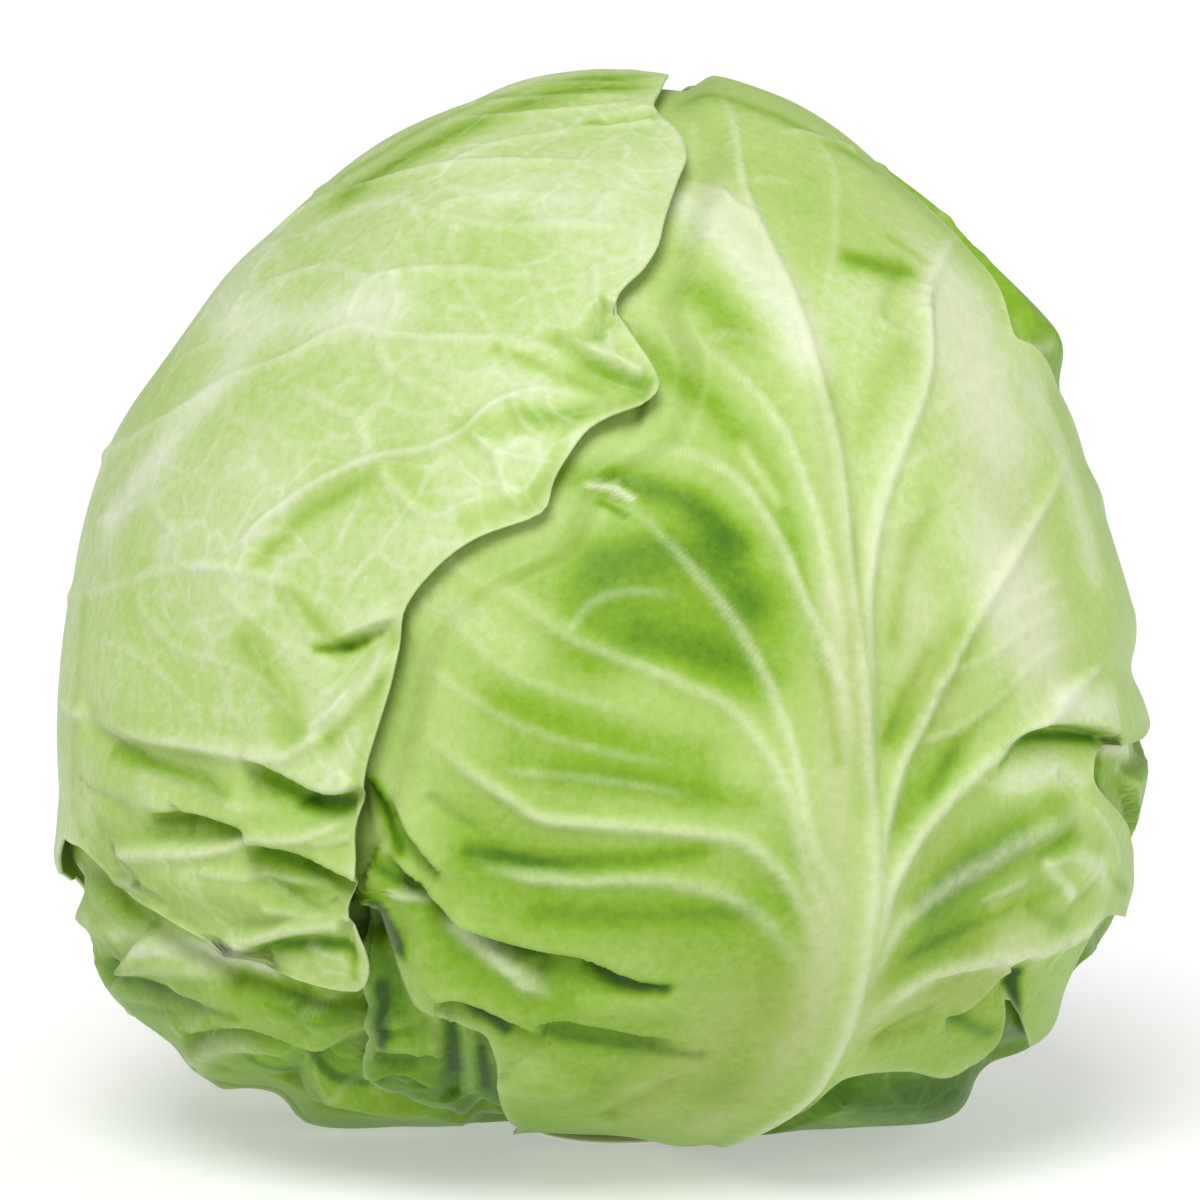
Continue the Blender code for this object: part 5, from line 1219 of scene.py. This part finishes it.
def tone_with_painted_shading(blade, look, directions):
    # The leaf's own tone, with painted shade in grooves and painted light on crests, painted shade towards the
    # underside, and the painted light and shade streaks
    relief = np.clip(blade.height(directions) * RELIEF_SHADING, *RELIEF_SHADING_LIMITS)
    under = UNDER_SHADE * smoothstep((UNDER_SHADE_START - directions[:, 2]) / UNDER_SHADE_SPREAD)
    return look["tone"] + relief + under + streaks(TONE_AND_PAINTED_SHADING_STREAKS[blade.name], directions)


def perimeter(cells):
    """Indices round the edge of a square grid, in order."""
    row = cells + 1
    ring = [i * row for i in range(cells)]
    ring += [cells * row + j for j in range(cells)]
    ring += [i * row + cells for i in range(cells, 0, -1)]
    ring += [j for j in range(cells, 0, -1)]
    return ring


def grid_sheet(mesh, cells, points):
    """A square grid of faces, made flat and then carried onto the points."""
    made = bmesh.ops.create_grid(mesh, x_segments=cells, y_segments=cells, size=1.0)["verts"]
    order = sorted(made, key=lambda vert: (round((vert.co.x + 1) / 2 * cells), round((vert.co.y + 1) / 2 * cells)))
    for vert, point in zip(order, points):
        vert.co = point
    return order


def leaf_mesh(name, blades, number, look):
    """Outer face, coarser inner face and the rim that joins them, with the masks for the material."""
    blade = blades[number]
    cells = look["cells"]
    coarse = cells // BACKING_SHARE
    directions = blade.sheet_directions(cells, look["focus"])
    outer = surface_radius(blades, number, directions)
    rows = directions.reshape(cells + 1, cells + 1, 3)[::BACKING_SHARE, ::BACKING_SHARE].reshape(-1, 3)
    outer_there = outer.reshape(cells + 1, cells + 1)[::BACKING_SHARE, ::BACKING_SHARE].ravel()
    inner = inner_radius(blades, number, rows, outer_there)
    solid = bmesh.new()
    top = grid_sheet(solid, cells, place(directions, outer))
    under = grid_sheet(solid, coarse, place(rows, inner))
    inner_faces = {face for vert in under for face in vert.link_faces}
    bmesh.ops.reverse_faces(solid, faces=list(inner_faces))
    ring, ring_under = perimeter(cells), perimeter(coarse)
    for step in range(len(ring_under)):
        fine = [top[ring[(step * BACKING_SHARE + k) % len(ring)]] for k in range(BACKING_SHARE + 1)]
        solid.faces.new(fine + [under[ring_under[(step + 1) % len(ring_under)]], under[ring_under[step]]])
    bmesh.ops.recalc_face_normals(solid, faces=solid.faces[:])
    everywhere = np.concatenate([directions, rows])
    for number_of, vert in enumerate([*top, *under]):
        vert.index = number_of
    solid.verts.sort()
    values = {
        "tone": tone_with_painted_shading(blade, look, everywhere),
        "cream_and_sheen": streaks(CREAM_AND_SHEEN_STREAKS[blade.name], everywhere),
        "vein": vein_mask(blade, everywhere) * look["ribs"],
        "rim": np.exp(-np.maximum(blade.inside(everywhere), 0) / RIM_LINE),
        "net": np.full(len(everywhere), look["net"]),
    }
    mesh = bpy.data.meshes.new(name)
    solid.to_mesh(mesh)
    solid.free()
    for label, numbers in values.items():
        mesh.attributes.new(label, "FLOAT", "POINT").data.foreach_set("value", numbers.astype(np.float32))
    mesh.polygons.foreach_set("use_smooth", [True] * len(mesh.polygons))
    return mesh


def new_node(tree, kind, **settings):
    made = tree.nodes.new(kind)
    for key, value in settings.items():
        if key.startswith("in_"):
            made.inputs[key[3:].replace("_", " ")].default_value = value
        else:
            setattr(made, key, value)
    return made


def join(tree, source, target):
    tree.links.new(source, target)


def maths(tree, operation, first, second, clamp=False):
    made = tree.nodes.new("ShaderNodeMath")
    made.operation = operation
    made.use_clamp = clamp
    for socket, value in zip(made.inputs, (first, second)):
        if isinstance(value, (int, float)):
            socket.default_value = value
        else:
            join(tree, value, socket)
    return made.outputs[0]


def blended(tree, share, first, second):
    made = tree.nodes.new("ShaderNodeMix")
    made.data_type = "RGBA"
    for socket, value in ((made.inputs[0], share), (made.inputs[6], first), (made.inputs[7], second)):
        if isinstance(value, (tuple, list)):
            socket.default_value = (*value, 1.0)
        elif isinstance(value, (int, float)):
            socket.default_value = value
        else:
            join(tree, value, socket)
    return made.outputs[2]


def attribute(tree, name):
    return new_node(tree, "ShaderNodeAttribute", attribute_name=name).outputs["Fac"]


def noise(tree, where, scale, detail, roughness=0.5):
    made = new_node(tree, "ShaderNodeTexNoise", in_Scale=scale, in_Detail=detail, in_Roughness=roughness)
    join(tree, where, made.inputs["Vector"])
    return made


def net_lines(tree, where, scale, width):
    """Lines between the cells of a net: 1 on a line, 0 away from it."""
    cell = new_node(tree, "ShaderNodeTexVoronoi", feature="DISTANCE_TO_EDGE", in_Scale=scale)
    join(tree, where, cell.inputs["Vector"])
    line = new_node(tree, "ShaderNodeMapRange", interpolation_type="SMOOTHSTEP", in_From_Max=width, in_To_Min=1.0,
                    in_To_Max=0.0)
    join(tree, cell.outputs["Distance"], line.inputs["Value"])
    return line.outputs["Result"]


def ramp_of(tree, value, stops):
    ramp = new_node(tree, "ShaderNodeValToRGB")
    elements = ramp.color_ramp.elements
    elements[0].position, elements[1].position = stops[0][0], stops[-1][0]
    elements[0].color, elements[1].color = (*stops[0][1], 1.0), (*stops[-1][1], 1.0)
    for position, colour in stops[1:-1]:
        elements.new(position).color = (*colour, 1.0)
    join(tree, value, ramp.inputs["Fac"])
    return ramp.outputs["Color"]


# Noises of the leaf: scale, detail and roughness, and their mean
BLOTCH_NOISE = (34.0, 4.0, 0.68)
GRAIN_NOISE = (620.0, 2.0, 0.7)
WARP_NOISE = (70.0, 1.0, 0.6)
NOISE_MEAN = 0.5
# Fine net: where it fades out, how fast, widths of its broad and fine lines, and scale of the fine ones
PATCH_START = 0.36
PATCH_GAIN = 3.0
BROAD_NET_WIDTH = 0.10
FINE_NET_WIDTH = 0.14
FINE_NET_SCALE = 2.2
FINE_NET_SHARE = 0.4
# Tones at which the five greens and the three yellow greens lie
GREEN_STOPS = (0.0, 0.18, 0.42, 0.70, 1.0)
YELLOW_STOPS = (0.0, 0.45, 1.0)
# Grain on the veins, paleness of the margin (partly its own lighter edge, partly a painted highlight along the
# rolled rim), and spread of the roughness
VEIN_GRAIN = 0.55
RIM_PALE_AND_HIGHLIGHT = 0.35
ROUGHNESS_SPREAD = 0.16
# Fine relief: shares of the grain and of the blotches, and its height in metres
GRAIN_RELIEF = 0.5
BLOTCH_RELIEF = 1.2
RELIEF_HEIGHT = 0.0005


def leaf_material(settings):
    """Leaf surface: green to whitish green by tone, which carries painted shade and painted highlights, cream
    veins, a fine raised net and a soft wax shine.
    """
    made = bpy.data.materials.new("leaf")
    made.use_nodes = True
    tree = made.node_tree
    shader = tree.nodes["Principled BSDF"]
    where = new_node(tree, "ShaderNodeTexCoord").outputs["Object"]
    blotch = noise(tree, where, *BLOTCH_NOISE).outputs["Fac"]
    grain = noise(tree, where, *GRAIN_NOISE).outputs["Fac"]
    warp = noise(tree, where, *WARP_NOISE).outputs["Color"]
    bent = new_node(tree, "ShaderNodeVectorMath", operation="MULTIPLY_ADD")
    join(tree, warp, bent.inputs[0])
    bent.inputs[1].default_value = (settings.net_wander,) * 3
    join(tree, where, bent.inputs[2])
    amount = attribute(tree, "net")
    patchy = maths(tree, "MULTIPLY", maths(tree, "SUBTRACT", blotch, PATCH_START, True), PATCH_GAIN, True)
    broad = net_lines(tree, bent.outputs[0], settings.net_scale, BROAD_NET_WIDTH)
    broad = maths(tree, "MULTIPLY", maths(tree, "MULTIPLY", broad, amount), patchy)
    fine = net_lines(tree, bent.outputs[0], settings.net_scale * FINE_NET_SCALE, FINE_NET_WIDTH)
    fine = maths(tree, "MULTIPLY", maths(tree, "MULTIPLY", fine, amount), patchy)
    uneven = maths(tree, "MULTIPLY", maths(tree, "SUBTRACT", blotch, NOISE_MEAN), settings.blotch)
    grains = maths(tree, "MULTIPLY", maths(tree, "SUBTRACT", grain, NOISE_MEAN), settings.grain)
    value = maths(tree, "ADD", maths(tree, "ADD", attribute(tree, "tone"), uneven), grains)
    value = maths(tree, "ADD", value, maths(tree, "MULTIPLY", broad, settings.net_colour), True)
    greens = (settings.deep, settings.dark, settings.green, settings.light, settings.pale_and_sheen)
    flesh = ramp_of(tree, value, tuple(zip(GREEN_STOPS, greens)))
    # Mix towards yellow green and cream: the flesh near the foot, and partly painted sheen on the upper right
    cream_and_sheen = maths(tree, "MULTIPLY", attribute(tree, "cream_and_sheen"), 1.0, True)
    yellows = (settings.deep, settings.foot, settings.cream)
    yellow = ramp_of(tree, value, tuple(zip(YELLOW_STOPS, yellows)))
    flesh = blended(tree, cream_and_sheen, flesh, yellow)
    ragged = maths(tree, "MULTIPLY", attribute(tree, "vein"), maths(tree, "ADD", grain, VEIN_GRAIN))
    marks = maths(tree, "MAXIMUM", ragged, maths(tree, "MULTIPLY", broad, settings.net_colour))
    marks = maths(tree, "MAXIMUM", marks, maths(tree, "MULTIPLY", fine, settings.net_colour * FINE_NET_SHARE))
    # Pale margin line: partly the leaf's lighter edge, partly a painted highlight along the rolled rim
    marks = maths(tree, "MAXIMUM", marks, maths(tree, "MULTIPLY", attribute(tree, "rim"), RIM_PALE_AND_HIGHLIGHT))
    marks = maths(tree, "MULTIPLY", marks, settings.vein_strength, True)
    join(tree, blended(tree, marks, flesh, tuple(settings.vein)), shader.inputs["Base Color"])
    least_rough = settings.roughness - ROUGHNESS_SPREAD * NOISE_MEAN
    rough = maths(tree, "ADD", maths(tree, "MULTIPLY", blotch, ROUGHNESS_SPREAD), least_rough)
    join(tree, rough, shader.inputs["Roughness"])
    shader.inputs["Specular IOR Level"].default_value = settings.shine
    grains = maths(tree, "MULTIPLY", grain, GRAIN_RELIEF)
    relief = maths(tree, "ADD", grains, maths(tree, "MULTIPLY", blotch, BLOTCH_RELIEF))
    bump = new_node(tree, "ShaderNodeBump", in_Strength=settings.bump, in_Distance=RELIEF_HEIGHT)
    join(tree, relief, bump.inputs["Height"])
    join(tree, bump.outputs["Normal"], shader.inputs["Normal"])
    return made


# Stalk: heights over which its cut face gives way to the skin, in metres, rings, grain and roughness
CUT_EDGE = (0.0002, 0.0006)
RING_SCALE = 60.0
RING_DISTORTION = 2.5
RING_DETAIL = 3.0
CUT_GRAIN_SCALE = 300.0
CUT_GRAIN_DETAIL = 4.0
RING_STRENGTH = 0.8
CUT_ROUGHNESS = 0.65
# Heart: clouds and roughness
CLOUD_SCALE = 40.0
CLOUD_DETAIL = 3.0
HEART_ROUGHNESS = 0.55


def cut_material(settings):
    """Cut stalk: pale flesh with a few darker rings round its axis, and green skin on the side."""
    made = bpy.data.materials.new("stalk")
    made.use_nodes = True
    tree = made.node_tree
    shader = tree.nodes["Principled BSDF"]
    where = new_node(tree, "ShaderNodeTexCoord").outputs["Object"]
    centred = new_node(tree, "ShaderNodeVectorMath", operation="SUBTRACT")
    join(tree, where, centred.inputs[0])
    centred.inputs[1].default_value = ((STALK_X + MIDDLE_SHIFT[0]) * MM, MIDDLE_SHIFT[1] * MM, 0.0)
    rings = new_node(tree, "ShaderNodeTexWave", wave_type="RINGS", rings_direction="Z", in_Scale=RING_SCALE,
                     in_Distortion=RING_DISTORTION, in_Detail=RING_DETAIL)
    join(tree, centred.outputs[0], rings.inputs["Vector"])
    grain = new_node(tree, "ShaderNodeTexNoise", in_Scale=CUT_GRAIN_SCALE, in_Detail=CUT_GRAIN_DETAIL)
    join(tree, where, grain.inputs["Vector"])
    share = maths(tree, "MULTIPLY", rings.outputs["Fac"], grain.outputs["Fac"])
    share = maths(tree, "MULTIPLY", share, RING_STRENGTH, True)
    cut = blended(tree, share, tuple(settings.flesh), tuple(settings.ring))
    parts = new_node(tree, "ShaderNodeSeparateXYZ")
    join(tree, where, parts.inputs[0])
    side = new_node(tree, "ShaderNodeMapRange", in_From_Min=CUT_EDGE[0], in_From_Max=CUT_EDGE[1])
    join(tree, parts.outputs["Z"], side.inputs["Value"])
    join(tree, blended(tree, side.outputs["Result"], cut, tuple(settings.skin)), shader.inputs["Base Color"])
    shader.inputs["Roughness"].default_value = CUT_ROUGHNESS
    return made


class CABBAGE_PG_leaf(PropertyGroup):
    """Colours and surface of the leaves"""
    # Deep and dark greens are reached mostly where painted shade lowers the tone in folds, pockets and gaps
    deep: FloatVectorProperty(name="Deep", description="Green of the deepest folds", subtype="COLOR",
                              default=(0.028, 0.085, 0.005))
    dark: FloatVectorProperty(name="Dark", description="Dark green", subtype="COLOR",
                              default=(0.075, 0.200, 0.003))
    green: FloatVectorProperty(name="Green", description="Middle green", subtype="COLOR",
                              default=(0.205, 0.380, 0.016))
    light: FloatVectorProperty(name="Light", description="Light green", subtype="COLOR",
                              default=(0.405, 0.560, 0.165))
    # Palest green, made whiter to stand partly for painted sheen
    pale_and_sheen: FloatVectorProperty(name="Pale", description="Palest green", subtype="COLOR",
                              default=(0.735, 0.775, 0.610))
    foot: FloatVectorProperty(name="Foot", description="Yellow green near the foot", subtype="COLOR",
                              default=(0.320, 0.420, 0.090))
    cream: FloatVectorProperty(name="Cream", description="Pale flesh near the foot", subtype="COLOR",
                              default=(0.670, 0.700, 0.490))
    vein: FloatVectorProperty(name="Vein", description="Vein colour", subtype="COLOR",
                              default=(0.690, 0.735, 0.520))
    vein_strength: FloatProperty(name="Vein strength", description="How clearly veins show", default=0.70)
    blotch: FloatProperty(name="Blotch", description="Unevenness of the green", default=0.26)
    grain: FloatProperty(name="Grain", description="Strength of the fine grain", default=0.20)
    net_scale: FloatProperty(name="Net scale", description="Cells of the fine vein net per metre", default=105.0)
    net_wander: FloatProperty(name="Net wander", description="How far the net lines wander", default=0.012,
                              unit="LENGTH")
    net_colour: FloatProperty(name="Net colour", description="How clearly the fine net shows", default=0.08)
    roughness: FloatProperty(name="Roughness", description="Surface roughness", default=0.42)
    shine: FloatProperty(name="Shine", description="Strength of the wax shine", default=0.22)
    bump: FloatProperty(name="Bump", description="Strength of the fine relief", default=0.20)


class CABBAGE_PG_core(PropertyGroup):
    """Colours of the heart and of the cut stalk"""
    flesh: FloatVectorProperty(name="Flesh", description="Cut flesh", subtype="COLOR", default=(0.66, 0.68, 0.42))
    ring: FloatVectorProperty(name="Ring", description="Rings of the cut", subtype="COLOR",
                              default=(0.46, 0.47, 0.22))
    skin: FloatVectorProperty(name="Skin", description="Side of the stalk", subtype="COLOR",
                              default=(0.210, 0.270, 0.070))
    heart: FloatVectorProperty(name="Heart", description="Inner leaves", subtype="COLOR",
                               default=(0.60, 0.70, 0.34))


class CABBAGE_PG_stage(PropertyGroup):
    """Floor, light and camera"""
    floor_size: FloatProperty(name="Floor size", description="Side of the floor", default=12.0, unit="LENGTH")
    floor_glow: FloatProperty(name="Floor glow", description="Even light given off by the floor", default=0.40)
    key: FloatProperty(name="Key light", description="Strength of the main light", default=2.5)
    fill: FloatProperty(name="Fill light", description="Power of the side light", default=4.2)
    sky: FloatProperty(name="Sky", description="Strength of the even light", default=0.37)


def blades_with_details():
    blades = []
    for name, facts in BLADES.items():
        outline, lines = facts["build"]()
        look = LOOKS[name]
        relief = [Stroke(*line) for line in lines + look["details"]()]
        if look["veins"]:
            count, reach, first = look["veins"]
            extra = side_veins(look["midrib"], count, reach, first, facts["seed"])
            relief += [mark for mark in extra if hidden_from_front(mark.line)]
        blade = Blade(name, facts["middle"], outline, relief, facts["swell"], facts["ruffle"], facts["seed"])
        blades.append(blade)
    return blades


def hidden_from_front(line):
    """Keep only veins that stay off the drawn side."""
    return (line @ NEAR).max() < FRONT_LIMIT


class CABBAGE_OT_leaves(Operator):
    """Build every leaf and put its material on it"""
    bl_idname = "cabbage.leaves"
    bl_label = "Leaves"

    def execute(self, context):
        blades = blades_with_details()
        made = leaf_material(context.scene.cabbage_leaf)
        for number, blade in enumerate(blades):
            mesh = leaf_mesh(blade.name + "_surface", blades, number, LOOKS[blade.name])
            if len(mesh.polygons) == 0:
                raise RuntimeError(f"{blade.name} has no faces")
            mesh.materials.append(made)
            piece = bpy.data.objects.new(blade.name + "_surface", mesh)
            context.scene.collection.objects.link(piece)
            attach(piece, "root")
            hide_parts(blade.name)
        return {"FINISHED"}


class CABBAGE_OT_core(Operator):
    """Put materials on the heart and on the cut stalk"""
    bl_idname = "cabbage.core"
    bl_label = "Heart and stalk"

    def execute(self, context):
        settings = context.scene.cabbage_core
        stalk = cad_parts["stalk"]
        stalk.data.materials.clear()
        stalk.data.materials.append(cut_material(settings))
        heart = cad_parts["heart"]
        made = bpy.data.materials.new("heart")
        made.use_nodes = True
        tree = made.node_tree
        shader = tree.nodes["Principled BSDF"]
        where = new_node(tree, "ShaderNodeTexCoord").outputs["Object"]
        cloud = new_node(tree, "ShaderNodeTexNoise", in_Scale=CLOUD_SCALE, in_Detail=CLOUD_DETAIL)
        join(tree, where, cloud.inputs["Vector"])
        join(tree, blended(tree, cloud.outputs["Fac"], tuple(settings.heart), tuple(settings.flesh)),
             shader.inputs["Base Color"])
        shader.inputs["Roughness"].default_value = HEART_ROUGHNESS
        heart.data.materials.clear()
        heart.data.materials.append(made)
        return {"FINISHED"}


# Picture's side in its own steps, floor, main light, side light and the camera's sensor in millimetres
PICTURE = 1200.0
FLOOR_GREY = 0.62
FLOOR_ROUGHNESS = 0.9
KEY_ANGLE = 35.0
KEY_TURN = (36.0, 0.0, -14.0)
FILL_PLACE = (1.15, -0.55, 0.55)
FILL_SIZE = 0.8
SENSOR = 36.0
WHITE = (1.0, 1.0, 1.0, 1.0)


def add_area(name, place_at, size, power):
    """A soft round light that faces the head."""
    light = bpy.data.lights.new(name, "AREA")
    light.shape = "DISK"
    light.size = size
    light.energy = power
    holder = bpy.data.objects.new(name, light)
    bpy.context.scene.collection.objects.link(holder)
    target = Vector((0.0, 0.0, MIDDLE_HEIGHT * MM))
    holder.location = place_at
    holder.rotation_euler = (Vector(place_at) - target).to_track_quat("Z", "Y").to_euler()
    return holder


class CABBAGE_OT_stage(Operator):
    """Add the floor, the lights and the camera"""
    bl_idname = "cabbage.stage"
    bl_label = "Stage"

    def execute(self, context):
        settings = context.scene.cabbage_stage
        mesh = bpy.data.meshes.new("floor")
        work = bmesh.new()
        bmesh.ops.create_grid(work, x_segments=1, y_segments=1, size=settings.floor_size / 2)
        work.to_mesh(mesh)
        work.free()
        floor = bpy.data.objects.new("floor", mesh)
        context.scene.collection.objects.link(floor)
        paint = bpy.data.materials.new("floor")
        paint.use_nodes = True
        shader = paint.node_tree.nodes["Principled BSDF"]
        shader.inputs["Base Color"].default_value = (FLOOR_GREY, FLOOR_GREY, FLOOR_GREY, 1.0)
        shader.inputs["Roughness"].default_value = FLOOR_ROUGHNESS
        shader.inputs["Emission Color"].default_value = WHITE
        shader.inputs["Emission Strength"].default_value = settings.floor_glow
        paint.cycles.emission_sampling = "NONE"
        mesh.materials.append(paint)
        sun = bpy.data.lights.new("key", "SUN")
        sun.energy = settings.key
        sun.angle = math.radians(KEY_ANGLE)
        key = bpy.data.objects.new("key", sun)
        context.scene.collection.objects.link(key)
        key.rotation_euler = [math.radians(turn) for turn in KEY_TURN]
        fill = add_area("fill", FILL_PLACE, FILL_SIZE, settings.fill)
        world = bpy.data.worlds.new("sky")
        world.use_nodes = True
        world.node_tree.nodes["Background"].inputs["Color"].default_value = WHITE
        world.node_tree.nodes["Background"].inputs["Strength"].default_value = settings.sky
        context.scene.world = world
        view = bpy.data.cameras.new("camera")
        view.sensor_width = SENSOR
        picture = PICTURE * STEP
        view.lens = view.sensor_width * SKETCH_DISTANCE / picture
        view.shift_x = (PICTURE / 2 - SKETCH_MIDDLE[0]) / PICTURE
        view.shift_y = (SKETCH_MIDDLE[1] - PICTURE / 2) / PICTURE
        holder = bpy.data.objects.new("camera", view)
        context.scene.collection.objects.link(holder)
        middle = np.array((*MIDDLE_SHIFT, MIDDLE_HEIGHT))
        holder.location = (middle + NEAR * SKETCH_DISTANCE) * MM
        holder.rotation_euler = (math.radians(90.0 - SKETCH_TILT), 0.0, 0.0)
        context.scene.camera = holder
        context.scene.view_settings.view_transform = "Standard"
        return {"FINISHED"}


class CABBAGE_PT_panel(Panel):
    """Cabbage head settings"""
    bl_label = "Cabbage Head"
    bl_space_type = "VIEW_3D"
    bl_region_type = "UI"
    bl_category = "Cabbage"

    def draw(self, context):
        for settings in (context.scene.cabbage_leaf, context.scene.cabbage_core, context.scene.cabbage_stage):
            for name in settings.__annotations__:
                self.layout.prop(settings, name)
        for operator in OPERATORS:
            self.layout.operator(operator.bl_idname)


OPERATORS = (CABBAGE_OT_leaves, CABBAGE_OT_core, CABBAGE_OT_stage)
CLASSES = (CABBAGE_PG_leaf, CABBAGE_PG_core, CABBAGE_PG_stage, *OPERATORS, CABBAGE_PT_panel)


def register():
    for item in CLASSES:
        bpy.utils.register_class(item)
    bpy.types.Scene.cabbage_leaf = PointerProperty(type=CABBAGE_PG_leaf)
    bpy.types.Scene.cabbage_core = PointerProperty(type=CABBAGE_PG_core)
    bpy.types.Scene.cabbage_stage = PointerProperty(type=CABBAGE_PG_stage)


def unregister():
    del bpy.types.Scene.cabbage_stage
    del bpy.types.Scene.cabbage_core
    del bpy.types.Scene.cabbage_leaf
    for item in reversed(CLASSES):
        bpy.utils.unregister_class(item)


def main():
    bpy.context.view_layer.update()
    register()
    bpy.ops.cabbage.leaves()
    bpy.ops.cabbage.core()
    bpy.ops.cabbage.stage()


if __name__ == "__main__":
    main()
